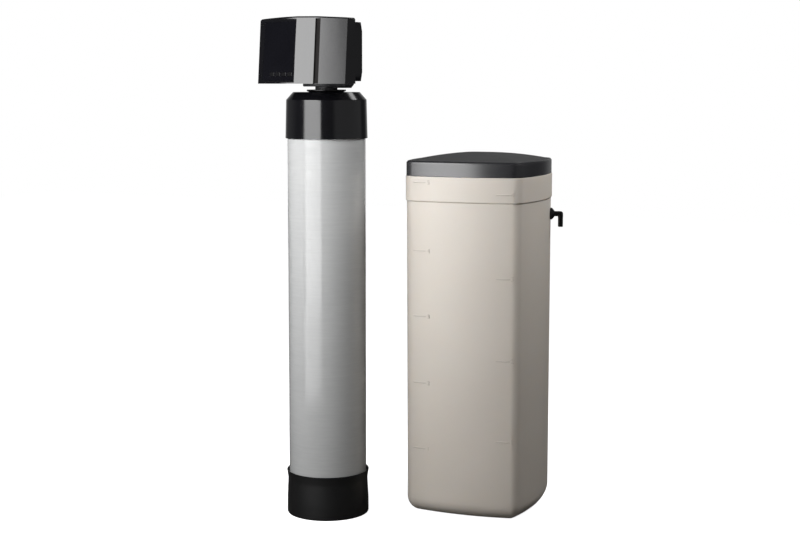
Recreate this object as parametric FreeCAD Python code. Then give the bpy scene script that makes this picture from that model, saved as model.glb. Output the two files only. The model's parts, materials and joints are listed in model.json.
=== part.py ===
import FreeCAD, Part
import math
import os

# Water conditioner: a mineral tank with a motor-driven control head, and a square brine tank beside it.
# Millimetres. The origin is on the floor below the mineral tank's axis, +Z is up, the head faces -Y.
Vector = FreeCAD.Vector
up = Vector(0, 0, 1)
forward = Vector(0, -1, 0)
clearance = 0.3
running_fit = 0.05
seat_gap = 0.2

# Mineral tank: wound vessel with elliptical ends and a neck
tank_radius = 104.0
tank_wall = 5.0
tank_bottom = 12.0
tank_height = 1122.0
tank_top = tank_bottom + tank_height
dome_depth = 58.0
neck_radius = 44.0
neck_bore = 36.6
neck_height = 24.0

# Boot that the vessel stands in
boot_height = 118.0
boot_wall = 5.0
boot_waist = 1.4
boot_lip = 2.0
boot_foot_radius = tank_radius + boot_wall
boot_waist_radius = boot_foot_radius - boot_waist
boot_lip_radius = boot_foot_radius + boot_lip
boot_lip_rise = 22.0
boot_edge = 6.0
boot_lip_wall = 2.2
boot_floor = 4.0
boot_seat_radius = 46.0

# Shoulder collar
collar_skirt = 122.0
collar_wall = 2.8
collar_flare = 2.4
collar_slope_width = 18.2
collar_upper_radius = tank_radius + collar_wall
collar_lower_radius = collar_upper_radius + collar_flare
collar_top_radius = collar_upper_radius - collar_slope_width
collar_slope = 20.5
collar_plate = 3.0
collar_rise = 0.5
collar_hole = neck_radius + 2.0

# Neck adapter with its brim, and the ring that seals it
adapter_thread_radius = neck_bore - clearance
adapter_thread_length = 24.0
adapter_bore = 20.0
adapter_cone_radius = neck_radius + 1.0
adapter_brim_radius = 52.0
adapter_brim = 3.5
adapter_height = 7.0
ring_section = 2.4
ring_squeeze = 0.1
ring_radius = neck_bore + ring_section

# Inside of the vessel
gravel_top = 80.0
resin_top = 720.0
gravel_floor_gap = 4.0
riser_radius = 13.35
riser_wall = 2.0
riser_gap = 4.0
strainer_radius = 28.0
strainer_low = 24.0
strainer_height = 54.0
strainer_discs = 6
strainer_disc = 3.0
strainer_sides = 12
strainer_core = 19.0
socket_depth = 12.0
upper_basket_height = 26.0
upper_basket_radius = 30.0
upper_basket_foot_radius = 21.0

# Valve body: a stem, a base disc and a piston bore that runs front to back
stem_radius = 29.5
stem_rise = 8.0
base_radius = 62.0
base_thickness = 8.0
base_edge = 2.0
base_low = tank_top + adapter_height + stem_rise
piston_rise = 57.0
piston_height = base_low + base_thickness + piston_rise
main_bore = 24.0
main_bore_end = 54.0
cap_bore = main_bore + 6.0
cap_seat = -6.0
barrel_wall = 4.0
barrel_radius = cap_bore + barrel_wall
barrel_back = main_bore_end + barrel_wall
barrel_front = -30.0
barrel_flange_radius = barrel_radius + 10.0
barrel_flange = 6.0
riser_top = piston_height - cap_bore - riser_gap
port_spacing = 76.0
port_link = 6.0
port_bore = 12.7
port_radius = port_bore + 7.3
port_start = 24.0
injector_x = -26.0
injector_boss_radius = 16.0
injector_bore = 10.0
injector_depth = 22.0
injector_floor = piston_height + 22.0
injector_boss_top = injector_floor + injector_depth
drain_x = 27.0
drain_boss_radius = 12.0
drain_boss_top = piston_height + 40.0
drain_bore = 7.0
boss_y = 12.0

# Piston, its rod and the stack that it slides in
piston_radius = 14.0
piston_length = 40.0
piston_front = main_bore_end - piston_length - 2.0
piston_waist = 10.5
piston_land = 8.0
rod_radius = 5.0
piston_travel = 36.0
spacer_count = 4
seal_thickness = 3.0
seal_lip = piston_radius + running_fit
stack_bore = piston_radius + 0.6
spacer_window = 7.0

# Drive cap with the spindle that carries the drive gear
cap_flange_radius = 34.0
cap_flange = 6.0
cap_cavity_radius = piston_radius + 1.5
cap_cavity_end = piston_front - piston_travel - 4.0
spindle_radius = 9.0

# Gear train, planes counted forward of the tank axis
bracket_back = 64.0
bracket_plate = 4.0
drive_face = 7.0
wheel_face = 6.0
plane_gap = 2.0
plane_a = bracket_back + bracket_plate + 3.0
plane_b = plane_a + drive_face + plane_gap
plane_c = plane_b + wheel_face + plane_gap
gear_front = plane_c + wheel_face
drive_teeth = 48
drive_module = 1.25
pinion_teeth = 12
wheel_teeth = 32
wheel_module = 1.0
motor_teeth = 10
gear_hub_radius = 12.0
nut_length = 4.0
rod_proud = 6.0
rod_tip = -(gear_front + rod_proud)
spindle_end = -(gear_front - nut_length - clearance)
axle_radius = 2.5
axle_boss_radius = 4.5
low_wheel_angle = 70.0
high_wheel_angle = 90.0
motor_angle = 60.0
tooth_thinning = 0.84
flank_angle = 20.0
tooth_addendum = 0.8
tooth_dedendum = 1.1

# Motor and bracket
motor_radius = 13.0
motor_length = 27.0
motor_shaft_radius = 1.5
bracket_half_width = 60.0
bracket_low = piston_height - 40.0
bracket_height = 133.0
bracket_high = bracket_low + bracket_height
bracket_post_radius = 5.0
bracket_post_x = 52.0
bracket_post_margin = 8.0
bracket_screw_radius = 2.0
bracket_screw_head = 4.0
bracket_screw_rise = 3.0

# Small fittings on the valve body
injector_cap_radius = 19.0
injector_cap_skirt = 4.0
injector_cap_rise = 9.0
injector_radius = 8.0
injector_height = 16.0
injector_throat = 2.0
elbow_radius = 8.0
elbow_bore = 5.0
elbow_rise = 16.0
elbow_reach = 36.0
spigot_radius = 7.0
spigot_length = 24.0
brine_fitting_radius = 7.15
brine_fitting_reach = 24.0
brine_fitting_root = 2.0
brine_fitting_collar = 5.0
fitting_bore = port_bore + 1.7
fitting_wall = 2.2
fitting_outer = fitting_bore + fitting_wall
fitting_length = 24.0
fitting_flange = 4.0
port_nut_radius = 21.5
port_nut_length = 16.0
turbine_radius = port_bore - 0.7
turbine_hub = 4.0
turbine_length = 12.0
turbine_front = 36.0
turbine_blade = 1.6
axle_pin = 1.5
spider_thickness = 4.0
spider_arm = 3.0

# Control head cover: a shallow prow, its front leaning back towards the top
cover_bottom = base_low + base_thickness - 0.5
cover_height = 172.5
cover_top = cover_bottom + cover_height
cover_half_width = 133.3
cover_front_side = 117.3
prow_y = 148.8
groove_left_x = 53.4
groove_left_y = 143.2
groove_right_x = 66.9
groove_right_y = 140.1
cover_back = 72.5
cover_wall = 3.0
cover_lean = 15.0
cover_crown_drop = 4.5
cover_rim = 3.5
groove_depth = 5.0
groove_end = 6.0

# Back part of the head
back_half_width = 129.0
back_low = cover_bottom + 6.5
back_high = cover_top - 14.0
back_end = 30.0
back_front = 80.0
back_wall = 3.0
back_taper = 4.0
back_taper_height = 24.0

# Display face
lens_left = 16.0
lens_right = 133.0
lens_low = 8.0
lens_high = 160.0
lens_thickness = 1.5
window_left = 78.0
window_right = 116.0
window_low = 92.0
window_high = 116.0
module_margin = 3.0
key_count = 4
key_first = 52.0
key_pitch = 22.0
key_height = 24.5
key_width = 16.0
key_depth = 10.0
key_proud = 0.8
key_travel = 1.2
key_flange = 1.5
key_flange_reach = 1.5
switch_half = 3.0
board_depth = 14.0
board_thickness = 1.6
board_left = 22.0
board_right = 124.0
board_low = 7.0
board_high = 126.0
cover_screw_along = 7.5
cover_screw_low = 20.0
cover_screw_high = 153.0
cover_screw_radius = 3.2

# Brine tank, outline at the rim: four bowed sides and round corners
brine_x = 322.1
brine_y = 271.1
brine_turn = 7.7
brine_width = 353.0
brine_depth = 340.0
brine_bow_front = 0.207
brine_bow_side = 0.226
brine_corner = 29.0
brine_wall = 4.0
brine_floor = 4.0
brine_foot = 40.0
brine_foot_corner = 8.0
brine_taper = 0.988
band_low = 847.0
band_high = 912.0
band_proud = 3.0
rim_top = 938.0
rim_inset = 1.5

# Lid
lid_height = 36.0
lid_crown = 17.0
lid_wall = 3.0
lid_proud = 2.6
lid_clearance = 0.8
lid_edge = 3.0
lid_lift_gap = 0.3

# Salt grid, brine well and what hangs in it
grid_height = 150.0
grid_thickness = 4.0
grid_inset = 7.0
grid_leg_radius = 14.0
grid_leg_wall = 2.5
grid_leg_x = 96.0
grid_leg_y = 90.0
grid_slot = 6.0
grid_slot_pitch = 24.0
grid_spine = 12.0
grid_rim = 40.0
well_from_side = 100.5
well_from_back = 102.0
well_x = brine_width / 2 - well_from_side
well_y = brine_depth / 2 - well_from_back
well_radius = 50.0
well_wall = 3.0
well_top = 848.0
well_cap_skirt = 16.0
well_cap_plate = 3.0
valve_low = 752.0
valve_height = 48.0
valve_half_depth = 11.0
tube_x = 24.0
tube_radius = 6.0
tube_bore = 4.0
rod_x = -11.0
float_rod_radius = 2.0
float_rod_low = 190.0
float_rise = 20.0
float_radius = 24.0
float_height = 70.0
float_low = 420.0
grommet_radius = 6.0
grommet_height = 5.0
check_low = 12.0
check_height = 60.0
check_radius = 13.0
valve_arm_radius = 8.0
valve_arm_nut = 12.0
valve_arm_reach = 8.0

# Overflow elbow on the brine tank's side
overflow_below_band = 47.0
overflow_height = band_low - overflow_below_band
overflow_angle = 11.0
overflow_radius = 6.3
overflow_bore = 4.6
overflow_spout_radius = 5.9
overflow_spout_length = 26.0
overflow_nut_radius = 16.2
overflow_nut_rim = 4.7
overflow_nut_length = 11.5
overflow_nut_tip = 1.2
overflow_stub = 24.5
overflow_drop = 36.0
overflow_washer = 2.0
overflow_flange_radius = 13.0
overflow_flange = 3.0


def solid_of_turn(points):
    """Solid of revolution about Z from a closed outline of radius and height pairs."""
    corners = [Vector(radius, 0, height) for radius, height in points]
    face = Part.Face(Part.makePolygon(corners + corners[:1]))
    return face.revolve(Vector(0, 0, 0), up, 360)


def prism(points, low, high):
    """Upright prism over a polygon in plan."""
    corners = [Vector(x, y, low) for x, y in points]
    return Part.Face(Part.makePolygon(corners + corners[:1])).extrude(Vector(0, 0, high - low))


def block(x0, x1, y0, y1, z0, z1):
    return Part.makeBox(x1 - x0, y1 - y0, z1 - z0, Vector(x0, y0, z0))


def post(radius, low, high, x=0.0, y=0.0):
    return Part.makeCylinder(radius, high - low, Vector(x, y, low), up)


def bar(radius, y0, y1, x=0.0, z=piston_height):
    """Round bar along Y."""
    return Part.makeCylinder(radius, y1 - y0, Vector(x, y0, z), Vector(0, 1, 0))


def tube(outer, inner, y0, y1, x=0.0, z=piston_height):
    return bar(outer, y0, y1, x, z).cut(bar(inner, y0 - 1, y1 + 1, x, z))


def elbow(radius, start, corner, end):
    """Two round bars that meet in a ball at a corner."""
    first = corner - start
    second = end - corner
    run = Part.makeCylinder(radius, first.Length, start, first)
    leg = Part.makeCylinder(radius, second.Length, corner, second)
    return run.fuse(Part.makeSphere(radius, corner)).fuse(leg)


def regular(sides, radius, turn=0.0):
    steps = [turn + 2 * math.pi * k / sides for k in range(sides)]
    return [(radius * math.cos(a), radius * math.sin(a)) for a in steps]


def placed(shape, frame):
    moved = shape.copy()
    moved.Placement = frame.multiply(shape.Placement)
    return moved


def facing_forward(x, z):
    """Frame whose Z runs forward and whose Y runs up, at the tank's axis plane."""
    return FreeCAD.Placement(Vector(x, 0, z), FreeCAD.Rotation(Vector(1, 0, 0), 90))


def export(name, *shapes):
    solids = [solid for shape in shapes for solid in shape.Solids]
    shape = solids[0] if len(solids) == 1 else Part.makeCompound(solids)
    shape.exportStep("parts/" + name + ".step")


def dome_outline(radius, depth, base, sign, stops=(0, 30, 60)):
    """Points down or up an elliptical end, from its rim towards the axis."""
    angles = [math.radians(stop) for stop in stops]
    return [(radius * math.cos(a), base + sign * depth * math.sin(a)) for a in angles]


shoulder_height = tank_top - neck_height - dome_depth * math.sqrt(1 - (neck_radius / tank_radius) ** 2)
lower_rim = tank_bottom + dome_depth


def mineral_tank():
    lower = dome_outline(tank_radius, dome_depth, lower_rim, -1)[::-1]
    upper = dome_outline(tank_radius, dome_depth, shoulder_height, 1)
    neck = [(neck_radius, tank_top - neck_height), (neck_radius, tank_top)]
    outside = [(0, tank_bottom)] + lower + upper + neck
    inner_radius = tank_radius - tank_wall
    inner_depth = dome_depth - tank_wall
    lower = dome_outline(inner_radius, inner_depth, lower_rim, -1)
    upper = dome_outline(inner_radius, inner_depth, shoulder_height, 1)[::-1]
    neck_join = shoulder_height + inner_depth * math.sqrt(1 - (neck_bore / inner_radius) ** 2)
    inside = [(neck_bore, tank_top), (neck_bore, neck_join)] + upper + lower + [(0, tank_bottom + tank_wall)]
    export("mineral_tank", solid_of_turn(outside + inside))


def tank_boot():
    edge = boot_edge * (1 - math.sqrt(0.5))
    outside = [(0, 0), (boot_foot_radius - boot_edge, 0), (boot_foot_radius - edge, edge)]
    outside += [(boot_foot_radius, boot_edge), (boot_waist_radius, boot_height - boot_lip_rise)]
    outside += [(boot_lip_radius, boot_height), (boot_lip_radius - boot_lip_wall, boot_height)]
    seat = dome_outline(tank_radius, dome_depth, lower_rim, -1)
    inside = [(tank_radius + seat_gap, boot_height - boot_lip_rise)]
    inside += [(radius + seat_gap, height - seat_gap) for radius, height in seat]
    inside += [(boot_seat_radius, tank_bottom - clearance), (boot_seat_radius, boot_floor), (0, boot_floor)]
    export("tank_boot", solid_of_turn(outside + inside))


def tank_collar():
    top = tank_top + collar_rise
    lip = top - collar_slope
    inner = tank_radius + seat_gap
    under = top - collar_plate
    outside = [(collar_lower_radius, top - collar_skirt), (collar_upper_radius, lip)]
    outside += [(collar_top_radius, top)]
    lean = collar_plate / 2
    inside = [(collar_hole, top), (collar_hole, under), (collar_top_radius - lean, under)]
    inside += [(inner, lip - lean), (inner, top - collar_skirt)]
    export("tank_collar", solid_of_turn(outside + inside))


def neck_adapter():
    low = tank_top + seat_gap
    top = tank_top + adapter_height
    thread_end = tank_top - adapter_thread_length
    groove_in = ring_radius - ring_section / 2 - seat_gap
    groove_out = ring_radius + ring_section / 2 + seat_gap
    groove_top = low + ring_section - ring_squeeze
    outline = [(adapter_bore, thread_end), (adapter_thread_radius, thread_end)]
    outline += [(adapter_thread_radius, low), (groove_in, low), (groove_in, groove_top)]
    outline += [(groove_out, groove_top), (groove_out, low), (adapter_cone_radius, low)]
    outline += [(adapter_brim_radius, top - adapter_brim), (adapter_brim_radius, top), (adapter_bore, top)]
    export("neck_adapter", solid_of_turn(outline))
    inner = ring_radius - ring_section / 2
    outer = ring_radius + ring_section / 2
    low = tank_top + ring_squeeze / 2
    top = tank_top + ring_section
    ring = [(inner, low), (outer, low), (outer, top), (inner, top)]
    export("tank_o_ring", solid_of_turn(ring))


def vessel_filling():
    inner_radius = tank_radius - tank_wall - clearance
    inner_depth = dome_depth - tank_wall - clearance
    hole = strainer_radius + clearance
    lower = [p for p in dome_outline(inner_radius, inner_depth, lower_rim, -1) if p[0] > hole]
    floor = lower_rim - inner_depth * math.sqrt(1 - (hole / inner_radius) ** 2) + gravel_floor_gap
    gravel = [(hole, gravel_top), (hole, floor)] + lower[::-1] + [(inner_radius, gravel_top)]
    export("gravel_bed", solid_of_turn(gravel))
    bed_bottom = max(gravel_top, strainer_low + strainer_height) + clearance
    hole = riser_radius + clearance
    resin = [(hole, bed_bottom), (inner_radius, bed_bottom), (inner_radius, resin_top), (hole, resin_top)]
    export("resin_bed", solid_of_turn(resin))


def closed(points, height):
    corners = [Vector(x, y, height) for x, y in points]
    return corners + corners[:1]


def frustum(points_low, low, points_high, high):
    wires = [Part.makePolygon(closed(points_low, low)), Part.makePolygon(closed(points_high, high))]
    return Part.makeLoft(wires, True, True)


def riser_and_strainers():
    top = strainer_low + strainer_height
    inner = riser_radius - riser_wall
    foot = top - socket_depth
    riser = [(inner, foot), (riser_radius, foot), (riser_radius, riser_top), (inner, riser_top)]
    export("riser_tube", solid_of_turn(riser))
    core = prism(regular(strainer_sides, strainer_core), strainer_low, top)
    pitch = (strainer_height - strainer_disc) / (strainer_discs - 1)
    for k in range(strainer_discs):
        low = strainer_low + k * pitch
        core = core.fuse(prism(regular(strainer_sides, strainer_radius), low, low + strainer_disc))
    socket = post(riser_radius + running_fit, foot, top + 1)
    throat = post(inner, strainer_low + strainer_disc, top)
    export("lower_distributor", core.cut(socket).cut(throat).removeSplitter())
    high = tank_top - adapter_thread_length - running_fit
    low = high - upper_basket_height
    narrow = regular(strainer_sides, upper_basket_foot_radius)
    wide = regular(strainer_sides, upper_basket_radius)
    basket = frustum(narrow, low, wide, high)
    export("upper_distributor", basket.cut(post(riser_radius + clearance, low - 1, high + 1)))


def valve_body():
    adapter_top = tank_top + adapter_height
    edge = base_radius - base_edge
    base_top = base_low + base_thickness
    column = [(adapter_bore, adapter_top), (stem_radius, adapter_top), (stem_radius, base_low)]
    column += [(edge, base_low), (base_radius, base_low + base_edge), (base_radius, base_top)]
    column += [(stem_radius, base_top), (stem_radius, piston_height), (adapter_bore, piston_height)]
    body = solid_of_turn(column)
    body = body.fuse(bar(barrel_radius, barrel_front, barrel_back))
    body = body.fuse(bar(barrel_flange_radius, barrel_front, barrel_front + barrel_flange))
    for x in (-port_spacing / 2, port_spacing / 2):
        body = body.fuse(bar(port_radius, port_start, barrel_back, x))
    body = body.fuse(post(injector_boss_radius, piston_height, injector_boss_top, injector_x, boss_y))
    body = body.fuse(post(drain_boss_radius, piston_height, drain_boss_top, drain_x, boss_y))
    body = body.cut(bar(main_bore, barrel_front - 1, main_bore_end))
    body = body.cut(bar(cap_bore, barrel_front - 1, cap_seat))
    body = body.cut(post(adapter_bore, adapter_top - 1, piston_height))
    for x in (-port_spacing / 2, port_spacing / 2):
        body = body.cut(bar(port_bore, turbine_front - 2, barrel_back + 1, x))
    link_y = turbine_front + port_link
    link_start = Vector(-port_spacing / 2, link_y, piston_height)
    body = body.cut(Part.makeCylinder(port_link, port_spacing, link_start, Vector(1, 0, 0)))
    body = body.cut(post(injector_bore, injector_floor, injector_boss_top + 1, injector_x, boss_y))
    body = body.cut(post(drain_bore, piston_height + main_bore / 2, drain_boss_top + 1, drain_x, boss_y))
    side = injector_x - injector_boss_radius
    port_z = injector_floor + brine_fitting_radius + 1
    arm_start = Vector(side - 1, boss_y, port_z)
    arm = Part.makeCylinder(brine_fitting_radius - 2, -side, arm_start, Vector(1, 0, 0))
    boss = post(injector_boss_radius + 1, injector_floor, injector_boss_top, injector_x, boss_y)
    body = body.cut(arm.common(boss))
    export("valve_body", body.removeSplitter())


def stack():
    """Spacers with windows and lipped seals, in turn along the main bore."""
    outer = main_bore - running_fit
    length = main_bore_end - cap_seat
    seals = spacer_count + 1
    spacer_length = (length - seals * seal_thickness - 2 * seat_gap) / spacer_count
    spacers = []
    rings = []
    position = cap_seat + seat_gap
    for k in range(seals):
        rings.append(tube(outer, seal_lip, position, position + seal_thickness))
        position += seal_thickness
        if k == seals - 1:
            break
        spacer = tube(outer, stack_bore, position, position + spacer_length)
        middle = position + spacer_length / 2
        half = spacer_window / 2
        reach = outer + 1
        y0, y1 = middle - half / 2, middle + half / 2
        spacer = spacer.cut(block(-reach, reach, y0, y1, piston_height - half, piston_height + half))
        spacers.append(spacer.cut(block(-half, half, y0, y1, piston_height - reach, piston_height + reach)))
        position += spacer_length
    export("stack_spacers", *spacers)
    export("stack_seals", *rings)


def piston_and_rod():
    back = piston_front + piston_length
    piston = bar(piston_waist, piston_front, back)
    piston = piston.fuse(bar(piston_radius, piston_front, piston_front + piston_land))
    piston = piston.fuse(bar(piston_radius, back - piston_land, back))
    bore = bar(rod_radius, piston_front - 1, piston_front + piston_length / 2)
    export("piston", piston.cut(bore).removeSplitter())
    export("piston_rod", bar(rod_radius, rod_tip, piston_front + piston_length / 2))


def drive_cap():
    front = barrel_front - seat_gap
    cap = bar(cap_bore - running_fit, front, cap_seat - seat_gap)
    cap = cap.fuse(bar(cap_flange_radius, front - cap_flange, front))
    cap = cap.fuse(bar(spindle_radius, spindle_end, front - cap_flange))
    cap = cap.cut(bar(cap_cavity_radius, cap_cavity_end, cap_seat))
    cap = cap.cut(bar(rod_radius + running_fit, spindle_end - 1, 0))
    export("drive_cap", cap.removeSplitter())


def gear_blank(teeth, module, low, high, phase):
    """Straight-flanked spur gear about Z between two heights, one tooth centred at the phase angle."""
    pitch_radius = module * teeth / 2
    half = math.pi * module / 4 * tooth_thinning
    slope = math.tan(math.radians(flank_angle))
    tip = pitch_radius + tooth_addendum * module
    root = pitch_radius - tooth_dedendum * module
    half_tip = (half - tooth_addendum * module * slope) / tip
    half_root = (half + tooth_dedendum * module * slope) / root
    corners = []
    for k in range(teeth):
        middle = phase + 2 * math.pi * k / teeth
        for radius, angle in ((root, -half_root), (tip, -half_tip), (tip, half_tip), (root, half_root)):
            corners.append((radius * math.cos(middle + angle), radius * math.sin(middle + angle)))
    return prism(corners, low, high)


def meshed_phase(line_angle, phase, teeth, other_teeth):
    """Phase of a gear that meshes with one whose phase is known, seen along the line of centres."""
    return line_angle + math.pi - math.pi / other_teeth + (line_angle - phase) * teeth / other_teeth


def step_from(start, distance, degrees):
    angle = math.radians(degrees)
    return (start[0] + distance * math.cos(angle), start[1] + distance * math.sin(angle))


drive_centre = (0.0, piston_height)
low_centre = step_from(drive_centre, drive_module * (drive_teeth + pinion_teeth) / 2, low_wheel_angle)
high_centre = step_from(low_centre, wheel_module * (wheel_teeth + pinion_teeth) / 2, high_wheel_angle)
motor_centre = step_from(high_centre, wheel_module * (wheel_teeth + motor_teeth) / 2, motor_angle)
low_phase = meshed_phase(math.radians(low_wheel_angle), 0.0, drive_teeth, pinion_teeth)
high_phase = meshed_phase(math.radians(high_wheel_angle), low_phase, wheel_teeth, pinion_teeth)
motor_phase = meshed_phase(math.radians(motor_angle), high_phase, wheel_teeth, motor_teeth)


def drive_gear():
    front = gear_front
    gear = gear_blank(drive_teeth, drive_module, plane_a, plane_a + drive_face, 0.0)
    gear = gear.fuse(post(gear_hub_radius, plane_a, front))
    gear = gear.cut(post(spindle_radius + running_fit, plane_a - 1, front - nut_length))
    gear = gear.cut(post(rod_radius + running_fit, plane_a, front + 1))
    export("drive_gear", placed(gear, facing_forward(*drive_centre)))


def reduction_gear(name, centre, pinion_module, pinion_low, pinion_high, wheel_low, phase):
    gear = gear_blank(pinion_teeth, pinion_module, pinion_low, pinion_high, phase)
    gear = gear.fuse(gear_blank(wheel_teeth, wheel_module, wheel_low, wheel_low + wheel_face, phase))
    if wheel_low > pinion_high:
        gear = gear.fuse(post(axle_radius + 2.0, pinion_high, wheel_low))
    gear = gear.cut(post(axle_radius + running_fit, pinion_low - 1, wheel_low + wheel_face + 1))
    export(name, placed(gear, facing_forward(*centre)))


def gear_train():
    drive_gear()
    end_a = plane_a + drive_face
    end_b = plane_b + wheel_face
    reduction_gear("reduction_gear_low", low_centre, drive_module, plane_a, end_a, plane_b, low_phase)
    reduction_gear("reduction_gear_high", high_centre, wheel_module, plane_b, end_b, plane_c, high_phase)
    pinion = gear_blank(motor_teeth, wheel_module, plane_c, plane_c + wheel_face, motor_phase)
    pinion = pinion.cut(post(motor_shaft_radius + running_fit, plane_c - 1, plane_c + wheel_face + 1))
    export("motor_pinion", placed(pinion, facing_forward(*motor_centre)))


def drive_bracket():
    """Plate on four posts, with an axle for each reduction gear."""
    plate_front = bracket_back + bracket_plate
    half = bracket_half_width
    plate = block(-half, half, bracket_low, bracket_high, bracket_back, plate_front)
    post_low = back_end + back_wall
    heights = (bracket_low + bracket_post_margin, bracket_high - bracket_post_margin)
    places = [(x, z) for x in (-bracket_post_x, bracket_post_x) for z in heights]
    for x, z in places:
        plate = plate.fuse(post(bracket_post_radius, post_low, bracket_back, x, z))
    for centre, wheel_low, shoulder in ((low_centre, plane_b, plane_a), (high_centre, plane_c, plane_b)):
        plate = plate.fuse(post(axle_boss_radius, plate_front, shoulder - clearance, *centre))
        plate = plate.fuse(post(axle_radius, plate_front, wheel_low + wheel_face + 3.0, *centre))
    plate = plate.cut(post(gear_hub_radius, bracket_back - 1, plate_front + 1, *drive_centre))
    plate = plate.cut(post(motor_shaft_radius + 2.0, bracket_back - 1, plate_front + 1, *motor_centre))
    screws = []
    for x, z in places:
        plate = plate.cut(post(bracket_screw_radius + running_fit, post_low - 1, plate_front + 1, x, z))
        shank = post(bracket_screw_radius, post_low + seat_gap, plate_front + 1.0, x, z)
        head = post(bracket_screw_head, plate_front + running_fit, plate_front + bracket_screw_rise, x, z)
        screws.append(shank.fuse(head))
    frame = facing_forward(0, 0)
    export("drive_bracket", placed(plate.removeSplitter(), frame))
    export("bracket_screws", *[placed(screw, frame) for screw in screws])


def drive_motor():
    front = bracket_back - seat_gap
    can = post(motor_radius, front - motor_length, front, *motor_centre)
    shaft = post(motor_shaft_radius, front, plane_c + wheel_face + 1.0, *motor_centre)
    stub = post(motor_shaft_radius * 2, front - motor_length - 1.5, front - motor_length, *motor_centre)
    export("drive_motor", placed(can.fuse(shaft).fuse(stub), facing_forward(0, 0)))


def injector_parts():
    low = injector_floor + seat_gap
    nozzle = post(injector_bore - running_fit * 4, low, low + 4, injector_x, boss_y)
    nozzle = nozzle.fuse(post(injector_radius, low, low + injector_height, injector_x, boss_y))
    nozzle = nozzle.cut(post(injector_throat, low - 1, low + injector_height + 1, injector_x, boss_y))
    export("injector", nozzle.removeSplitter())
    low = injector_boss_top - injector_cap_skirt + clearance
    top = injector_boss_top + injector_cap_rise
    cap = prism([(injector_x + x, boss_y + y) for x, y in regular(12, injector_cap_radius)], low, top)
    hollow_top = injector_boss_top + seat_gap
    cap = cap.cut(post(injector_boss_radius + clearance, low - 1, hollow_top, injector_x, boss_y))
    export("injector_cap", cap.removeSplitter())


def drain_elbow():
    top = drain_boss_top + elbow_rise
    low = Vector(drain_x, boss_y, drain_boss_top + seat_gap)
    corner = Vector(drain_x, boss_y, top - elbow_radius)
    end = Vector(drain_x, boss_y + elbow_reach, top - elbow_radius)
    neck = end - Vector(0, spigot_length, 0)
    stem = elbow(elbow_radius, low, corner, neck)
    stem = stem.fuse(bar(spigot_radius, neck.y, end.y, drain_x, end.z))
    stem = stem.fuse(post(drain_bore - running_fit * 2, piston_height + main_bore, low.z + 1, drain_x, boss_y))
    stem = stem.fuse(post(elbow_radius + 2, low.z, low.z + 4, drain_x, boss_y))
    inside = elbow(elbow_bore, Vector(drain_x, boss_y, piston_height), corner, end + Vector(0, 1, 0))
    export("drain_elbow", stem.cut(inside).removeSplitter())


def brine_fitting():
    """Male fitting in the injector boss's side, where the brine line is nipped."""
    height = injector_floor + brine_fitting_radius + 1
    inner = injector_x - injector_boss_radius + 1.5
    start = Vector(inner - 1.0, boss_y, height)
    left = Vector(-1, 0, 0)
    shoulder = brine_fitting_root + brine_fitting_collar
    fitting = Part.makeCylinder(brine_fitting_radius - 1.0, brine_fitting_root, start, left)
    collar_start = start + left * brine_fitting_root
    collar = Part.makeCylinder(brine_fitting_radius + 2.0, brine_fitting_collar, collar_start, left)
    tip_length = brine_fitting_reach - shoulder
    tip = Part.makeCylinder(brine_fitting_radius, tip_length, start + left * shoulder, left)
    fitting = fitting.fuse(collar).fuse(tip)
    boss = post(injector_boss_radius + running_fit, injector_floor, injector_boss_top, injector_x, boss_y)
    fitting = fitting.cut(boss)
    hole = Part.makeCylinder(brine_fitting_radius - 2.5, brine_fitting_reach + 4, start - left * 2, left)
    export("brine_fitting", fitting.cut(hole).removeSplitter())


def port_fittings():
    nuts = []
    low = barrel_back + seat_gap
    for name, x in (("inlet_fitting", -port_spacing / 2), ("outlet_fitting", port_spacing / 2)):
        fitting = bar(fitting_outer, low, low + fitting_length, x)
        fitting = fitting.fuse(bar(fitting_outer + 2.5, low, low + fitting_flange, x))
        export(name, fitting.cut(bar(fitting_bore, low - 1, low + fitting_length + 1, x)).removeSplitter())
        start = low + fitting_flange + seat_gap
        sides = [(x + px, pz) for px, pz in regular(6, port_nut_radius / math.cos(math.pi / 6), math.pi / 6)]
        corners = [Vector(px, start, piston_height + pz) for px, pz in sides]
        nut = Part.Face(Part.makePolygon(corners + corners[:1])).extrude(Vector(0, port_nut_length, 0))
        nuts.append(nut.cut(bar(fitting_outer + clearance, start - 1, start + port_nut_length + 1, x)))
    export("port_nuts", *nuts)


def flow_meter():
    x = port_spacing / 2
    back = turbine_front + turbine_length
    hub = bar(turbine_hub, turbine_front, back, x)
    half = turbine_blade / 2
    y0, y1 = turbine_front + 1, back - 1
    z = piston_height
    wheel = hub.fuse(block(x - turbine_radius, x + turbine_radius, y0, y1, z - half, z + half))
    wheel = wheel.fuse(block(x - half, x + half, y0, y1, z - turbine_radius, z + turbine_radius))
    wheel = wheel.cut(bar(axle_pin + running_fit, turbine_front + 1.5, back + 1, x))
    export("meter_turbine", wheel.removeSplitter())
    start = back + seat_gap
    ring = tube(port_bore - running_fit, port_bore - 1.5, start, start + spider_thickness, x)
    half = spider_arm / 2
    reach = port_bore - 1.0
    ring = ring.fuse(block(x - reach, x + reach, start, start + spider_thickness, z - half, z + half))
    ring = ring.fuse(bar(axle_pin, turbine_front + 2.0, start + spider_thickness, x))
    export("meter_spider", ring.removeSplitter())


def inset_polygon(points, distance):
    """Anticlockwise convex outline moved inwards by a distance."""
    moved = []
    count = len(points)
    for k in range(count):
        (ax, ay), (bx, by), (cx, cy) = points[k - 1], points[k], points[(k + 1) % count]
        first = math.atan2(by - ay, bx - ax)
        second = math.atan2(cy - by, cx - bx)
        half_turn = (second - first) / 2
        half_turn = math.atan2(math.sin(half_turn), math.cos(half_turn))
        reach = distance / math.cos(half_turn)
        direction = first + half_turn + math.pi / 2
        moved.append((bx + reach * math.cos(direction), by + reach * math.sin(direction)))
    return moved


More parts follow.
